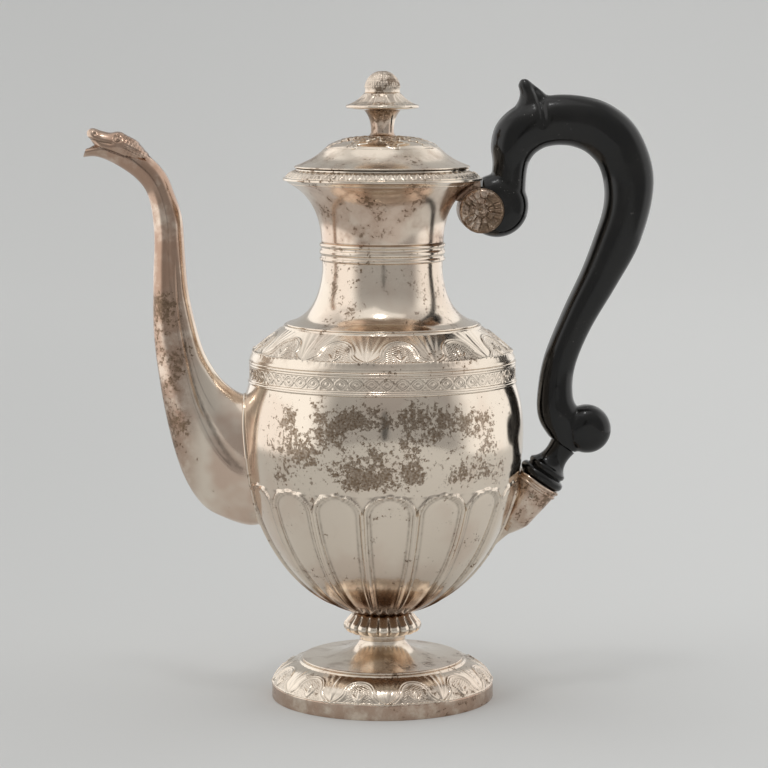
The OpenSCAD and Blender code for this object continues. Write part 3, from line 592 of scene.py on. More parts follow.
def egg_strip(angle, along, length, radius):
    """A row of small upright leaves in U-shaped frames. The strip's top, under the lid's brim, is
    darkened as a painted shadow.
    """
    x, pitch = repeats(angle, radius, 64, FRONT)
    v = along / length
    d = np.abs(x) - 0.42 * pitch * np.sqrt(unit(v * 1.3))
    egg = bell(np.hypot(x / 0.45, (v - 0.55) * length / 0.9), 1.0)
    edge = edges(along, length, 0.3)
    h = 0.2 * (bell(d, 0.24) + egg + edge)
    dark = 0.55 * (1 - unit(bell(d, 0.3) + egg + edge))
    # A painted shadow: the last millimetre of the strip, under the lid's brim, is made dark.
    return h, np.maximum(dark, step(along, length - 1.1, length - 0.5))


FLUTES, FLUTE_PHASE = 16, FRONT + math.radians(1.2)
z_flute_top = z_bowl + 61.2
ARCH_H, ARCH_POWER = 9.5, 2.1


def flutes(z):
    """Long round-topped panels, each framed by a raised double ridge, with valleys between."""
    z = z[:, None]

    def relief(angle, along, length, radius):
        x, pitch = repeats(angle, radius, FLUTES, FLUTE_PHASE)
        arch = unit((z - (z_flute_top - ARCH_H)) / ARCH_H)
        half = 0.474 * pitch * np.maximum(1 - arch ** ARCH_POWER, 0) ** (1 / ARCH_POWER)
        over = np.maximum(z - z_flute_top, 0)
        slope = np.gradient(half[:, 0], along[:, 0])[:, None]
        d = (np.abs(x) - half) / np.sqrt(1 + np.clip(slope, -8, 8) ** 2)
        d = np.hypot(np.maximum(d, 0), over) + np.minimum(d, 0)
        size = np.clip(pitch / 16, 0.28, 1)
        fade = step(z, z_bowl - 2, z_bowl + 7)
        ridge = 0.95 * bell(d, 0.62 * size) + 0.4 * bell(d + 1.7 * size, 0.42 * size)
        panel = 0.30 * step(-d, 2.4 * size, 5.5 * size) - 0.22 * step(-d, 0.5 * size, 1.3 * size)
        between = step(z_flute_top - 4.0 - z, 0, 4.0) * step(d, 0.2, 0.8 * size)
        h = (ridge + panel - 0.7 * between) * fade * np.clip(size, 0.45, 1)
        dark = 0.6 * bell(d + 2.4 * size, 0.5 * size) + 0.6 * bell(d + 1.0 * size, 0.3 * size)
        dark = dark + 0.8 * between * step(d, 0.25, 0.8)
        dark = dark + 0.75 * bell(d - 0.85, 0.36) * (1 - between)
        return h, unit(dark * step(z_flute_top + 3 - z, 0, 2))
    return relief


def gadroons(angle, along, length, radius):
    """Bulging lobes, deep between."""
    u = np.abs(period(angle, 20, FRONT))
    lobe = np.sqrt(unit(1 - (2 * u) ** 2))
    swell = np.sin(np.pi * unit(along / length)) ** 0.6
    return 1.9 * swell * (lobe - 0.55), unit(step(u, 0.33, 0.5) * swell) * 0.8


# ---------- foot ----------

def foot():
    finish(lathe("foot_band_silver", [soften(fill(
        [[foot_r - 1.2, 0], [foot_r - 0.1, 0], [foot_r, 0.4],
         *arc([foot_r - 0.6, z_border - 0.6], 0.6, 0, 90, 6),
         [foot_r - 1.2, z_border]], 1.5, True), 0.25)], 480), FOOT, "silver", "foot_band")

    inner = plate_r - 2.4
    out = fill(quad([foot_r - 0.3, z_border], [foot_r - 3.0, z_plate - 2.9],
                    [plate_r + 0.9, z_plate - 0.7], 40), 0.36)
    back = quad([inner + WALL, z_plate - WALL], [foot_r - 4.4, z_plate - 4.2],
                [foot_r - 1.4, z_border])
    finish(lathe("foot_leaf_border", [
        (out, leaf_border(12, FRONT + math.radians(0.4))),
        [[plate_r + 0.4, z_plate], [inner, z_plate], [inner, z_plate - WALL]],
        back], 900), CHASED, "chased_silver", "foot_border")

    bore = stem_r - WALL
    rise = quad([plate_r - 0.6, z_plate + 1], [stem_r + 2, z_plate + 1.5],
                [stem_r, z_collar - 2.6], 30)
    back = quad([bore, z_collar - 2.8], [stem_r + 1, z_plate + 0.2], [plate_r - 5.4, z_plate])
    edge = [[inner, z_plate], [plate_r, z_plate], [plate_r, z_plate + 0.8]]
    neck = [[stem_r + 0.4, z_collar], [bore, z_collar], [bore, z_collar - 2.6]]
    outline = soften(np.vstack([edge, rise, neck, back]), 0.3)
    finish(lathe("pedestal_silver", [outline]), PLATE, "silver", "pedestal")

    def up(share):
        return z_collar + share * (z_bowl - z_collar)

    belly = fill(quad([12.6, up(0.05)], [18.6, up(0.22)], [15.8, up(0.55)], 20), 0.3)
    upper = fill(quad([15.8, up(0.55)], [14.4, up(0.72)], [13.4, up(0.9)], 12), 0.3)
    finish(lathe("stem_collar_silver", [
        [[bore, z_collar], [stem_r + 0.6, z_collar]],
        (np.vstack([belly, upper[1:]]), gadroons),
        [[bowl_seat_r - 1.2, z_bowl], [bore, z_bowl]]], 480), PLAIN, "silver", "stem_collar")


# ---------- bowl ----------

def bowl_at(z):
    """The radius of the bowl's plain surface at a height."""
    low = bowl_low_h / math.sqrt(1 - (bowl_seat_r / bowl_r) ** 2)
    up = bowl_up_h / math.sqrt(1 - ((belt_r + 1) / bowl_r) ** 2)
    b = np.where(z < z_wide, low, up)
    return bowl_r * np.sqrt(np.maximum(0, 1 - ((z - z_wide) / b) ** 2))


def bowl_outline(grow, low, high, step):
    """The bowl's plain surface between two heights, moved outwards by grow."""
    z = np.linspace(low, high, 600)
    return fill_even(np.stack([bowl_at(z) + grow, z], 1), step)


def envelope(grow):
    """Everything inside the bowl's surface, for cutting."""
    low, high = z_bowl - 0.6, z_belt + 1
    p = bowl_outline(grow, low, high, 1.5)
    return welded(lathe("bowl_envelope", [np.vstack([[[0, low]], p, [[0, high]]])],
                        256, closed=False))


def strainer():
    """The cutter for the holes behind the spout: one mesh of many pegs."""
    pitch, hole_r, sides = 4.5, 1.5, 20
    pegs = [((col + row % 2 / 2) * pitch, z_wide - 12 + row * pitch) for row in range(-3, 4)
            for col in range(-2, 3) if abs(col + row % 2 / 2) <= 2.3]
    verts = [(x, y + hole_r * math.cos(a), z + hole_r * math.sin(a))
             for y, z in pegs for x in (-bowl_r - 6, -bowl_r + 12) for a in turns(sides)]
    peg = grid_faces(2, sides, False).tolist()
    peg += [list(range(sides))[::-1], list(range(sides, 2 * sides))]
    return make("holes", verts, [[2 * sides * k + j for j in face]
                                 for k in range(len(pegs)) for face in peg])


def bowl():
    fluted = bowl_outline(0, z_bowl, z_flute_top + 3, 0.75)
    plain = bowl_outline(0, z_flute_top + 3, z_belt, 2.0)[1:]
    inside = bowl_outline(-BOWL_WALL, z_bowl + BOWL_WALL, z_belt, 2.5)[::-1]
    neck = [[strip_r, z_belt], [strip_r, z_seam], [belt_r - WALL, z_seam],
            [belt_r - WALL, z_belt + 0.6]]
    piece = welded(lathe("bowl_fluted", [
        [[0.0, z_bowl]], (fluted, flutes(fluted[:, 1])), plain, neck,
        inside, [[0.0, z_bowl + BOWL_WALL]]], FLUTES * 48))
    finish(crisp(cut(piece, strainer()), 50), BODY, "silver", "bowl")


# ---------- belt, shoulder, neck and rim ----------

BEAD_H, FILLET_H = 1.5, 0.8


def belt():
    # Each wire is a round bead with a flat fillet on the strip's side of it.
    for name, z, r, way in (("belt_wire_low", z_belt, belt_r + 1.5, 1),
                            ("belt_wire_high", z_shoulder, belt_r + 1.1, -1)):
        half = BEAD_H / 2
        outline = np.vstack([[[0, 0]], arc([r - half - belt_r, half], half, -90, 75, 10),
                             soften([[0.95, BEAD_H + 0.05], [0.95, BEAD_H + FILLET_H]], 0.1, False),
                             [[0, BEAD_H + FILLET_H]]]) * [1, way] + [belt_r, z]
        finish(lathe(name, [outline[::way]], 480), PLAIN, "silver", "belt_wires")
    low, high = z_belt + BEAD_H + FILLET_H, z_shoulder - BEAD_H - FILLET_H
    face = fill([[belt_r + 0.55, low + 0.02], [belt_r + 0.55, high - 0.02]], 0.28)
    finish(lathe("belt_strip_figured", [
        [[belt_r, low]], (face, lozenges), [[belt_r, high]]], 1120),
        CHASED, "chased_silver", "belt_strip")


def shoulder():
    r, inner = strip_r, neck_foot_r - 2.4
    lip = soften([[r, z_seam], [r, z_shoulder], [r + 0.6, z_shoulder], [r + 0.6, z_shoulder + 1.2],
                  [r - 0.4, z_shoulder + 3.2]], 0.3, False)
    slope = fill(quad([r - 0.8, z_shoulder + 3.9], [r - 7, z_shoulder + 9.5],
                      [neck_foot_r + 0.8, z_neck - 0.3], 40), 0.36)
    back = quad([neck_foot_r, z_neck - WALL - 0.4], [r - 8.4, z_shoulder + 8.4],
                [r - 2.2, z_shoulder + 3.2])
    finish(lathe("shoulder_leaf_border", [
        lip, (slope, leaf_border(12, FRONT + math.radians(21), 0.5)),
        [[neck_foot_r, z_neck], [inner, z_neck], [inner, z_neck - WALL]],
        back, [[r - WALL, z_shoulder + 1.4], [r - WALL, z_seam]]], 1008),
        CHASED, "chased_silver", "shoulder")


def neck():
    inner = neck_foot_r - 2.4
    out = np.vstack([[[inner, z_neck], [neck_foot_r, z_neck], [neck_foot_r, z_neck + 0.8]],
                     quad([neck_foot_r - 0.4, z_neck + 1], [neck_r + 1.8, z_neck + 4],
                          [neck_r, z_ring - 4], 40), [[neck_r, z_ring]]])
    back = np.vstack([[[neck_r - WALL, z_ring], [neck_r - WALL, z_ring - 4]],
                      quad([neck_r - WALL, z_ring - 4.2], [neck_r + 0.6, z_neck + 2.6],
                           [inner, z_neck + 0.2], 24)])
    finish(lathe("neck_lower_silver", [soften(np.vstack([out, back]), 0.3)]),
           PLAIN, "silver", "neck_lower")

    r, w, top = neck_r + 1.2, 0.9, z_neck_up
    outline = np.vstack([[[neck_r - WALL, z_ring], [neck_r, z_ring]],
                         arc([r - w, z_ring + w], w, -90, 60),
                         arc([r - 1.6, (z_ring + top) / 2], 1.6, -55, 55),
                         arc([r - w, top - w], w, -60, 90), [[neck_r - WALL, top]]])
    finish(lathe("neck_ring_silver", [outline]), PLAIN, "silver", "neck_ring")

    out = quad([neck_r + 0.3, z_neck_up], [neck_r + 0.9, z_rim - 7.3], [rim_r - 2.2, z_rim], 40)
    back = quad([neck_r + 0.3 - WALL, z_neck_up], [neck_r + 0.9 - WALL, z_rim - 6.6],
                [rim_r - 2.2 - 2 * WALL, z_rim], 24)[::-1]
    finish(lathe("neck_upper_silver", [np.vstack([out, back])]), FLARE, "silver", "neck_upper")


def rim():
    low, tip = rim_r - 2.2, rim_r + 0.9
    lip = soften([[mouth_r, z_rim], [low, z_rim], [low + 1.6, z_rim + 1.1], [tip, z_rim + 1.6],
                  [tip, z_rim + 2.5], [rim_r - 0.2, z_rim + 2.9]], 0.2, False)
    slope = fill(quad([rim_r - 0.4, z_rim + 3.0], [rim_r - 1.9, z_rim_top - 0.6],
                      [mouth_r + 1.9, z_rim_top], 16), 0.3)
    piece = lathe("rim_figured", [lip, (slope, egg_strip), [[mouth_r, z_rim_top]]], 1024)
    lo, hi = box("hinge_knuckles")
    notch = block("notch", (mouth_r - 1, lo[1] - 0.4, lo[2]),
                  (hi[0] + 0.6, hi[1] + 0.4, z_rim_top + 1))
    finish(crisp(cut(piece, notch)), CHASED, "chased_silver", "rim_band")


# ---------- spout ----------

# From inside the bowl to the lip: [x, z] of the lower wall, [x, z] of the upper wall and the
# half width, measured outwards and up from the bowl's widest point, then where the fold in
# each flank runs, in degrees from the upper wall, and how deep it is.
SPOUT = [
    [-14, -41, -12, 14, 17, 100, 0], [-4, -43, -2.5, 15.6, 16.6, 96, 0.3],
    [7, -39.8, 3, 18, 15, 88, 0.9], [17.6, -33.5, 9.5, 23.8, 12.6, 76, 1.1],
    [26, -20, 16, 34.5, 10.2, 68, 1.1], [32, 0, 20, 47.5, 8.4, 64, 0.9],
    [36.4, 24, 23, 62, 7.2, 62, 0.6], [38.6, 45, 24.2, 75, 6.7, 60, 0.3],
    [38.5, 68, 24.8, 86, 6.5, 60, 0], [38, 88, 25.6, 95, 6.4, 60, 0],
    [40.2, 103.4, 28.6, 104.6, 6.3, 60, 0], [45.4, 111.6, 33, 114.6, 6.2, 60, 0],
    [54.8, 118.2, 42, 123.4, 6, 60, 0], [62.6, 121.4, 53.6, 128.2, 5.4, 60, 0],
    [68.6, 121.2, 67, 125.6, 4.2, 60, 0]]
head_x, head_z = -bowl_r - 38.6, z_wide + 121.2


def spout_stations(stretch=0):
    """SPOUT in the part's frame, each end drawn out by stretch."""
    rows = [[-bowl_r - s[0], z_wide + s[1], -bowl_r - s[2], z_wide + s[3], *s[4:]]
            for s in SPOUT]
    for row, way in ((rows[0], stretch), (rows[-1], -stretch)):
        row[0] += way
        row[2] += way
    return rows


def above_neckline(gap):
    """The space over the line where the head sits on the tube."""
    line = [[head_x + 2.2, head_z + 14], [head_x + 2.2, head_z - 0.3 + gap],
            [head_x - 12, head_z + gap], [head_x - 22.4, head_z + 3.9 + gap],
            [head_x - 34, head_z + 3.5 + gap], [head_x - 34, head_z + 14]]
    return skin("above", np.array([[[x, y, z] for x, z in line] for y in (15, -15)]))


def past_fold(s, sides):
    """How far each side of each ring is past the fold. 1 is 11 degrees."""
    w = turns(sides)
    return (np.degrees(np.minimum(w, TAU - w))[None, :] - s[:, 5:6]) / 11


def folded(stations, sides, steps, inset=0.0):
    """Rings of the spout: ovals whose flanks are pressed in along the fold."""
    s = through(stations, steps)
    past, deep = past_fold(s, sides), s[:, 6:7]
    swell = 0.5 * deep * bell(past - 1, 0.9) - 1.15 * deep * bell(past, 0.62)
    return sweep(stations, sides, steps, grow=swell - inset)


def loop(name, line, radius, sides=12):
    """A closed tube along a ring of points."""
    along = np.roll(line, -1, 0) - np.roll(line, 1, 0)
    along /= np.linalg.norm(along, axis=1, keepdims=True)
    side = line - line.mean(0)
    side -= along * (side * along).sum(1, keepdims=True)
    side /= np.linalg.norm(side, axis=1, keepdims=True)
    up = np.cross(along, side)
    a = turns(sides)[None, :, None]
    rings = line[:, None] + radius * (side[:, None] * np.cos(a) + up[:, None] * np.sin(a))
    return make(name, rings.reshape(-1, 3), grid_faces(len(line), sides, True))


def spout():
    sides, steps = 96, 12
    outer = folded(spout_stations(), sides, steps)
    s = through(spout_stations(), steps)
    dark = 0.85 * bell(past_fold(s, sides), 0.3) * unit(s[:, 6:7] * 1.4)
    piece = skin("spout_silver", outer, dark)
    cut(piece, skin("bore", folded(spout_stations(3), 64, 8, SPOUT_WALL)))
    cut(piece, envelope(0.1))
    cut(piece, above_neckline(0))
    finish(crisp(piece, 50), SPOUT_LOOK, "silver", "spout_tube")

    # The bead follows the line where each strip of the tube comes out of the bowl.
    clear, column = 0.25, np.arange(sides)
    out = np.hypot(outer[..., 0], outer[..., 1]) - bowl_at(outer[..., 2])
    first = np.argmax((out > clear) & (outer[..., 2] < z_belt), axis=0)
    a, b = out[first - 1, column], out[first, column]
    f = ((clear - a) / (b - a))[:, None]
    line = outer[first - 1, column] * (1 - f) + outer[first, column] * f
    finish(loop("spout_joint_bead", line, 0.75), PLAIN, "silver")


# From the neck to the snout: [x of section, underside, crown, half width].
HEAD = [[-0.6, -2, 0.6, 4.6], [-3.2, -2.4, 3.4, 6.2], [-6.6, -2.6, 7.3, 6.9],
        [-11, -2, 9.8, 7], [-14.6, -1, 11.2, 6.6], [-18, 0, 10.8, 5.8], [-22, 2, 11.6, 4.8],
        [-25.2, 5.6, 12.7, 4.2], [-27.2, 7.8, 12.4, 3.2], [-28.3, 9.4, 11.4, 1.5]]


def head_points(rows, sides, steps, inset=0.0):
    return sweep([[head_x + x, head_z + low, head_x + x, head_z + high, half]
                  for x, low, high, half in rows], sides, steps, grow=-inset)


def head():
    p = head_points(HEAD, 96, 12)
    x, y, z = p[..., 0] - head_x, p[..., 1], p[..., 2] - head_z
    eye = np.hypot(x + 14.7, (z - 8.2) * 1.2)
    brow = bell((z - 10.3 - 0.1 * (x + 15)) * 1.6, 1.0) * bell(x + 15.4, 3.2)
    flank = step(np.abs(y), 1.5, 3.0)
    nostril = bell(np.hypot(x + 24.6, z - 10.5), 0.65)
    scales = np.sin(x * 2.9 + 1.3 * z) * np.sin(z * 2.9 - 0.8 * x) * step(x, -13.0, -10.0)
    lip = bell(z - 6.6 + 0.16 * (x + 20), 0.55) * step(-x, 15, 18)
    jaw = bell(z - 4.6 + 0.10 * (x + 20), 0.9) * step(-x, 15, 19)
    lift = flank * (0.55 * bell(eye, 0.8) - 0.3 * bell(eye - 1.6, 0.4)) + 0.4 * brow
    lift = lift - 0.4 * nostril * flank + 0.2 * scales - 0.5 * lip + 0.4 * jaw
    lift = lift + 0.35 * bell(z + 1.2, 0.7)
    way = p - p.mean(1, keepdims=True)
    way /= np.maximum(np.linalg.norm(way, axis=2, keepdims=True), 1e-6)
    dark = unit(0.8 * flank * bell(eye - 1.5, 0.5) + nostril * flank + 0.8 * lip
                   + 0.6 * step(-scales, 0.1, 0.5))
    piece = skin("spout_head_silver", p + way * lift[..., None], dark)
    stretched = [list(s) for s in HEAD[:7]]
    stretched[0][0] += 4
    cut(piece, skin("hollow", head_points(stretched, 64, 8, 0.9)))
    cut(piece, above_neckline(0.05), "INTERSECT")
    finish(crisp(piece, 50), SPOUT_LOOK, "chased_silver", "spout_head")


# ---------- handle ----------

socket_c = np.array([rim_r + 0.1, 0, z_rim - 11.7])
SOCKET_R, TONGUE_W, CHEEK_T = 9.9, 17.0, 1.1
CENTRE = 0.02  # The rosettes stop just short of their axis.
cup_tilt = math.radians(34.8)
cup_c = np.array([bowl_r + 7.2, 0, z_wide - 23.4])
CUP_R, CUP_DEPTH, TENON_R = 10.9, 12.0, 7.4

# From the upper volute over the crest to the turned foot: [x, z] of the outer edge, [x, z] of
# the inner edge and the half width, measured from the upper socket.
GRIP = [
    [4, 6, 20, 6, 8.4], [5.4, 20, 20.8, 17.8, 8.8], [4.6, 28.6, 23.2, 23.6, 9.6],
    [7.2, 38, 27.6, 27, 10], [15.4, 45.6, 32, 28.2, 10.2], [29, 50.2, 36, 28.4, 10.2],
    [43, 50.4, 41, 27.8, 10.2], [57, 46.6, 47, 25.2, 10], [69, 36.6, 52.4, 19.4, 9.9],
    [76.2, 20, 55, 10, 9.8], [76.4, 4, 54.6, 0.4, 9.5], [70.6, -16, 51.2, -10.8, 9],
    [60.4, -34.6, 45.4, -26.4, 8.2], [49.2, -53.8, 36.6, -45.6, 7.7],
    [42.6, -70.6, 28.6, -66.2, 7.5], [42, -83.6, 25.8, -84, 7.9],
    [45.2, -92, 26.8, -94, 8.2], [43.4, -109, 31.2, -101.4, 7.2]]
SPUR = [[12, 41, 31, 48.4, 6.6], [16.2, 47.2, 29.2, 50.6, 5.6], [17.3, 51.2, 26.6, 52.8, 4.4],
        [16.5, 54.8, 23, 55.6, 3.1], [17.6, 57.4, 20.4, 57.8, 1.5]]


def from_socket(rows):
    """GRIP or SPUR in the part's frame."""
    sx, sz = socket_c[0], socket_c[2]
    return [[sx + r[0], sz + r[1], sx + r[2], sz + r[3], r[4]] for r in rows]


def volute(name, x, z, r, half, edge):
    """A round-edged scroll end at a place measured from the upper socket."""
    outline = np.vstack([[[0, -half]], arc([r - edge, -half + edge], edge, -90, 0, 10),
                         arc([r - edge, half - edge], edge, 0, 90, 10), [[0, half]]])
    place = Matrix.Translation((socket_c[0] + x, 0, socket_c[2] + z)) @ LYING
    return welded(lathe(name, [outline], 96, closed=False, place=place))


def cup_axis():
    return Matrix.Translation(cup_c) @ Matrix.Rotation(cup_tilt, 4, "Y")


def turned_foot():
    foot_z = -CUP_DEPTH + 0.5
    taper = quad([CUP_R - 2.4, 7.8], [CUP_R - 6.6, 11], [CUP_R - 4.7, 19], 16)
    outline = np.vstack([[[0, foot_z], [TENON_R, foot_z], [TENON_R, 0.1]],
                         arc([CUP_R - 2.5, 2.4], 2.3, -90, 90, 16),
                         [[CUP_R - 2.4, 5.4], [CUP_R - 1.9, 6], [CUP_R - 1.9, 7.2]],
                         taper, [[0, 20]]])
    return welded(lathe("turned_foot", [outline], 128, closed=False, place=cup_axis()))


def crease(grip):
    """Presses a groove into both flanks at the spur's right foot."""
    data = grip.data.vertices
    at, out = np.empty(len(data) * 3), np.empty(len(data) * 3)
    data.foreach_get("co", at)
    data.foreach_get("normal", out)
    at, out = at.reshape(-1, 3) / MM, out.reshape(-1, 3)
    x, y, z = (at - socket_c).T
    line = 26.6 - 0.16 * (z - 44) - 0.012 * (z - 44) ** 2
    deep = 1.4 * bell(x - line, 1.5) * step(z, 34, 42) * step(56 - z, 0, 3)
    deep = deep * step(np.abs(y), 0.5, 2.5)
    data.foreach_set("co", ((at - out * deep[:, None]) * MM).ravel())


def handle():
    grip = skin("handle_wood", sweep(from_socket(GRIP), 64, 10, 0.94))
    for other in (skin("spur", sweep(from_socket(SPUR), 32, 8)),
                  volute("volute_top", 7.4, 1.9, 14, TONGUE_W / 2 + 1.3, 8),
                  volute("volute_low", 48.2, -98, 10.8, 9.2, 7.6)):
        cut(grip, other, "UNION")
    m = grip.modifiers.new("blend", "REMESH")
    m.mode, m.voxel_size = "VOXEL", 0.55 * MM
    applied(grip)
    smoothed(grip, 14)
    crease(grip)
    smoothed(grip, 5)
    cut(grip, turned_foot(), "UNION")
    cut(grip, cylinder("tongue", socket_c, SOCKET_R, TONGUE_W / 2 - 0.02), "UNION")
    for side in (-1, 1):
        y = side * (TONGUE_W / 2 + 10)
        cut(grip, cylinder("cheek", socket_c + [0, y, 0], SOCKET_R + 0.2, 10))
    bed = cylinder("bed", socket_c + [-6, 0, 0], SOCKET_R + 6, 15)
    cut(bed, cylinder("keep", socket_c, SOCKET_R - CHEEK_T - 0.05, 20))
    cut(bed, block("right", socket_c - [0, 30, 30], socket_c + 30))
    cut(grip, bed)
    cut(grip, cylinder("rim_room", (0, 0, z_rim), rim_r + 1.15, 3 + z_rim_top - z_rim,
                       Matrix(), 256))
    cut(grip, envelope(0.55))
    finish(crisp(grip), WOOD, "ebonised_wood", "handle_grip")


def socket_bead():
    """The second of the two beads round the lower socket's mouth."""
    outline = arc([CUP_R - 1.05, -3.0], 0.75, 0, 330, 11)
    finish(lathe("lower_socket_bead", [outline], 128, place=cup_axis()), LOWER, "silver")


def rosettes():
    """A boss in a ring of petals, struck in the thin disc on each cheek."""
    def petals(angle, along, length, radius):
        wander = angle + 0.05 * np.sin(5 * angle) + 0.02 * radius * np.sin(3 * angle)
        outer, inner = (np.sqrt(unit(1 - (2 * period(wander, count, phase)) ** 2))
                        for count, phase in ((14, 0), (9, 0.2)))
        far = step(radius, 5.4, 6.0) * step(9.4 - radius, 0, 0.9)
        near = step(radius, 2.9, 3.4) * step(6.0 - radius, 0, 0.7)
        boss = 1.1 * bell(radius, 1.3) + 0.5 * bell(radius - 2.4, 0.4)
        h = 0.95 * outer * far + 0.9 * inner * near + boss * 0.9 + 0.3 * bell(radius - 9.2, 0.3)
        dark = far * step(-outer, -0.7, 0.1) + near * step(-inner, -0.7, 0.1)
        dark = dark + 0.9 * bell(radius - 5.7, 0.35)
        dark = dark + 0.8 * bell(radius - 1.7, 0.3) + 0.8 * bell(radius - 3.0, 0.3)
        return h * (radius > CENTRE), 0.12 + 0.86 * unit(dark)

    face, r, thick = TONGUE_W / 2 + CHEEK_T + 0.05, SOCKET_R - 0.4, 0.35
    top = fill([[r, thick], [CENTRE, thick]], 0.22)
    for side in (-1, 1):
        place = (Matrix.Translation(socket_c + np.array([0, side * face, 0]))
                 @ Matrix.Rotation(-side * math.pi / 2, 4, "X"))
        piece = lathe("rosette_front" if side < 0 else "rosette_back",
                      [[[CENTRE, 0], [r, 0]], (top, petals)], 256, closed=False, place=place)
        finish(piece, ROSETTE, "chased_silver", "socket_rosettes")


# ---------- lid and finial ----------

dome_h = z_crown - z_lid
waist = np.array([lid_r * 0.68, z_lid + dome_h * 0.59])


def dome_top(n):
    """The dome's curve from its waist to the finial."""
    return quad(waist + [-0.8, 0.7], [lid_r * 0.54, z_crown - 0.4], [6, z_crown], n)


def lid():
    brim = [[lid_r - 2, z_lid], [lid_r - 1.5, z_lid], [lid_r, z_lid + 0.6]]
    out = np.vstack([[[lid_r, z_lid + 1.1]],
                     quad([lid_r - 0.5, z_lid + 1.3], [lid_r * 0.78, z_lid + dome_h * 0.3],
                          waist, 24), dome_top(24), [[1.6, z_crown]]])
    back = np.array([p - [0, 0.9] for p in out if p[0] < lid_r - 2.5])[::-1]
    piece = lathe("lid_dome", [soften(np.vstack([brim, out, back]), 0.2)], 480)
    behind = block("hinge_side", (hinge_x, -lid_r - 5, z_lid - 3),
                   (hinge_x + 10, lid_r + 5, z_lid + 20))
    finish(crisp(cut(piece, behind)), LID, "silver", "lid_cover", body="lid")

    # Curling leaves that lie on the dome, round the finial.
    def leaves(angle, along, length, radius):
        u = period(angle, 8, FRONT + 0.2)
        pitch = TAU * radius / 8
        bent = u + 0.055 * np.sin(radius * 1.15)
        reach = 1 - (radius - 6.6) / 19.0
        half = np.sqrt(unit(reach)) * 0.44 * (1 + 0.22 * np.sin(radius * 1.9))
        d = (half - np.abs(bent)) * pitch
        body, vein = step(d, -0.1, 0.5), bell(bent * pitch, 0.35)
        lobes = 0.14 * np.sin(radius * 2.1 - 9 * np.abs(u))
        fade = 1 - 0.65 * step(radius, 15, 22)
        h = 0.3 + 0.8 * lobes + 0.25 * vein + 0.4 * bell(d - 0.45, 0.35)
        dark = body * (0.45 - 0.4 * bell(d - 0.4, 0.5)) * (1 - vein) * fade
        return (body * fade * h - 0.12 * (1 - body),
                unit(dark + 0.5 * bell(d + 0.3, 0.3)))

    keep = fill_even(np.array([p + [0, 0.16] for p in dome_top(40) if 6.6 < p[0] < 25.4]), 0.3)
    finish(lathe("lid_leaves", [(keep, leaves), keep[::-1] - [0, 0.12]], 640),
           CHASED, "chased_silver", "lid_rosette", body="lid")


def finial():
    bore = 1.55
    base = [[bore, z_crown], [6.4, z_crown], [6.4, z_crown + 0.8], [5.6, z_crown + 1.2]]
    out = np.vstack([base, quad([5.1, z_crown + 2.2], [4.8, z_cap - 3.6], [8, z_cap]),
                     [[bore, z_cap]]])
    finish(lathe("finial_stem_silver", [soften(out, 0.25)], 192),
           FINIAL, "silver", "finial_stem", body="lid")

    def scrolls(angle, along, length, radius):
        x, pitch = repeats(angle, radius, 12, 0.1)
        v = along / length
        d = np.abs(x) - 1.9 * np.sqrt(unit(1 - v)) * step(v, 0.02, 0.2)
        dots = bell(np.hypot(pitch / 2 - np.abs(x), (v - 0.3) * length), 0.7)
        h = 0.17 * (bell(d, 0.32) + bell(d + 0.9, 0.28) + dots + bell(along, 0.35))
        return h, unit(0.45 * (1 - bell(d, 0.5) - dots - bell(along, 0.5)))

    slope = fill(quad([cap_r - 0.4, z_cap + 2.2], [cap_r - 5, z_cap + 3.6],
                      [ball_r + 0.6, z_ball - 0.8], 20), 0.3)
    finish(lathe("finial_cap_figured", [
        soften([[bore, z_cap], [8, z_cap], [cap_r - 0.6, z_cap + 0.9], [cap_r, z_cap + 1.3],
                [cap_r, z_cap + 1.8]], 0.25, False), (slope, scrolls),
        [[ball_r + 0.2, z_ball], [bore, z_ball]]], 480),
        CHASED, "chased_silver", "finial_cap", body="lid")

    def lattice(angle, along, length, radius):
        round_count = np.maximum(np.round(TAU * np.maximum(radius, 1.2) / 1.15 / 4) * 4, 8)
        bumps = np.abs(np.sin(angle * round_count / 2)) * np.abs(np.sin(along / 0.95 * math.pi))
        keep = step(radius, 0.6, 2.0)
        return 0.22 * bumps * keep, 0.6 * (1 - bumps) * keep

    dome = fill_even(arc([0, z_tip - ball_r], ball_r - 0.15, 4, 89.9, 40), 0.22)
    base = soften([[bore, z_ball], [ball_r - 0.3, z_ball], [ball_r, z_ball + 0.5],
                   [ball_r - 0.3, z_ball + 1.1]], 0.2, False)
    finish(lathe("finial_ball_figured", [base, (dome, lattice)], 320, closed=False),
           CHASED, "chased_silver", "finial_ball", body="lid")


# ---------- CAD nodes that keep their shape ----------

def dress():
    looks = dict.fromkeys(("upper_pin", "lower_pin", "hinge_pin", "lid_bezel", "lid_knuckle",
                           "finial_stud", "finial_nut"), PLAIN)
    # The upper socket's darker silver is partly painted shade.
    looks |= {"upper_socket": SOCKET, "lower_socket": LOWER, "hinge_knuckles": CHASED}
    for node, material in looks.items():
        mesh = frame["nodes"][node].data
        mesh.materials.clear()
        mesh.materials.append(material)


# ---------- stage, light and camera ----------

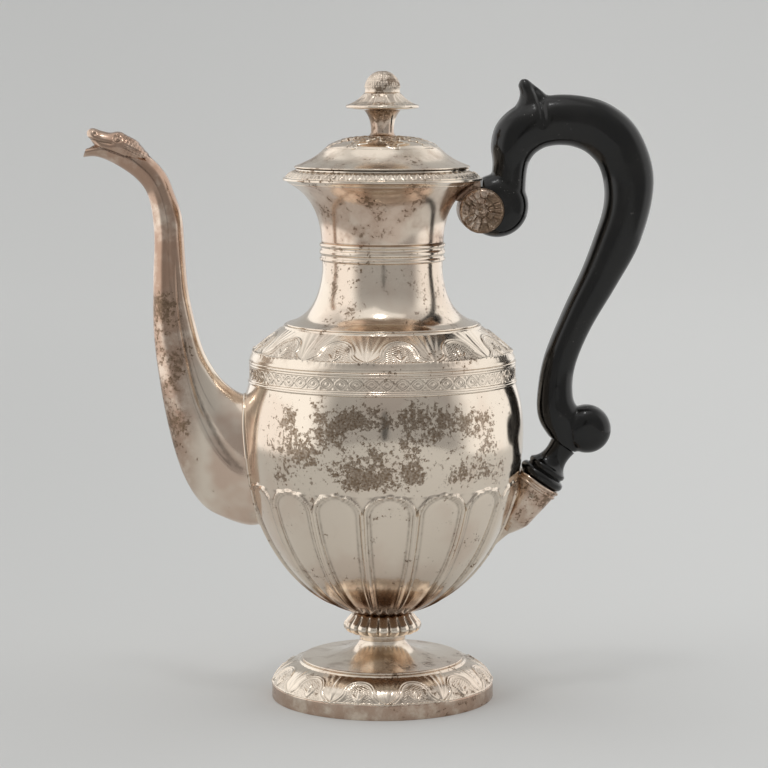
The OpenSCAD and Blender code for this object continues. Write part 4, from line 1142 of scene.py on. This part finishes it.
def stage():
    # A floor that curves up into a backdrop, far enough behind for a camera to stand in between.
    # It widens with distance, so that it looks as wide from the pot all the way.
    half, spread, front, back, bend, high = 0.62, 0.388, -3.0, 3.4, 1.4, 5.0
    line = [(front, 0.0), (half / spread, 0.0), (back - bend, 0.0)]
    line += [(back - bend + bend * math.sin(a), bend - bend * math.cos(a))
             for a in np.linspace(0.05, math.pi / 2, 24)]
    line += [(back, high)]
    verts = [(side * max(half, spread * y), y, z) for y, z in line for side in (-1, 1)]
    faces = [(2 * i, 2 * i + 1, 2 * i + 3, 2 * i + 2) for i in range(len(line) - 1)]
    mesh = bpy.data.meshes.new("backdrop")
    mesh.from_pydata(verts, [], faces)
    mesh.shade_smooth()
    paper = Shader(bpy.data.materials.new("paper"))
    across, away, _ = paper.parts(paper.place())
    # Painted light: the paper is coloured darker on the left and towards the front, and lighter on
    # the right and towards the back, as the light falls on it.
    far = paper.step(away, 0.0, 3.1)
    left = paper.mix(far, rgb(0.66, 0.665, 0.66), rgb(0.87, 0.875, 0.87))
    right = paper.mix(far, rgb(0.80, 0.805, 0.80), rgb(0.935, 0.94, 0.935))
    painted_light_tone = paper.mix(paper.step(across, -0.45, 0.45), left, right)
    mesh.materials.append(paper.surface(Base_Color=painted_light_tone, Roughness=0.95, Specular_IOR_Level=0.0))
    placed("backdrop", mesh)


def lamp(name, at, to, size, power):
    light = bpy.data.lights.new(name, "AREA")
    light.shape, light.energy = "RECTANGLE", power
    light.size, light.size_y = size
    o = placed(name, light)
    o.location = at
    o.rotation_euler = (Vector(to) - Vector(at)).to_track_quat("-Z", "Y").to_euler()


def light():
    """A light tent: dim in front, where the camera's dark spot is, and bright at each side and
    behind, so that the silver's edges are light and its middle is grey."""
    lamp("top", (-0.3, -0.2, 1.9), (0, 0, 0), (1.8, 1.6), 3.6)
    lamp("spark", (-0.1, -0.45, 1.8), (0, 0, 0.15), (0.19, 0.19), 1.5)
    world = bpy.data.worlds.new("tent")
    bpy.context.scene.world = world
    s = Shader(world)
    x, y, z = s.parts(s.add("TexCoord").outputs["Generated"])
    flat = s.math("SQRT", s.less(1.0, s.times(z, z)))
    back = s.math("DIVIDE", y, s.math("MAXIMUM", flat, 0.05))
    left = s.fade(x, -0.1, 0.1)
    near_left = s.times(s.step(back, -0.76, -0.40), left)
    near_right = s.times(s.step(back, -0.58, -0.18), s.less(1.0, left))
    sides = s.plus(s.times(near_left, 0.80), s.times(near_right, 0.70))
    bright = s.plus(0.385, s.times(sides, s.fade(z, 0.5, 0.95)), False)
    bright = s.plus(bright, s.times(s.step(z, 0.35, 0.9), 0.16), False)
    high = s.times(s.less(z, 0.12), 0.23)
    off = s.math("SQRT", s.plus(s.times(x, x), s.times(high, high)))
    spot = s.times(s.fade(off, 0.03, 0.065), s.step(s.times(y, -1.0), 0.0, 0.1))
    bright = s.times(bright, s.less(1.0, s.times(spot, 0.85)))
    # Beside the paper, the camera sees a plain pale grey and not the tent.
    seen = s.add("LightPath").outputs["Is Camera Ray"]
    bright = s.plus(s.times(bright, s.less(1.0, seen)), s.times(seen, 0.58), False)
    s.set(world.node_tree.nodes["Background"], Color=rgb(1.0, 0.997, 0.985), Strength=bright)


def camera():
    data = bpy.data.cameras.new("camera")
    data.lens, data.sensor_width = 124.1, 36.0
    cam = placed("camera", data)
    turn, tip, distance, height = math.radians(-2.0), math.radians(6.8), 1.172, 0.281
    back = Vector((math.sin(turn), -math.cos(turn), 0)) * distance
    cam.location = back + Vector((0.0007, 0, height))
    cam.rotation_euler = (math.pi / 2 - tip, 0, turn)
    bpy.context.scene.camera = cam
    bpy.context.scene.view_settings.view_transform = "Standard"


camera()
light()
stage()
foot()
bowl()
belt()
shoulder()
neck()
rim()
spout()
head()
handle()
socket_bead()
rosettes()
lid()
finial()
dress()
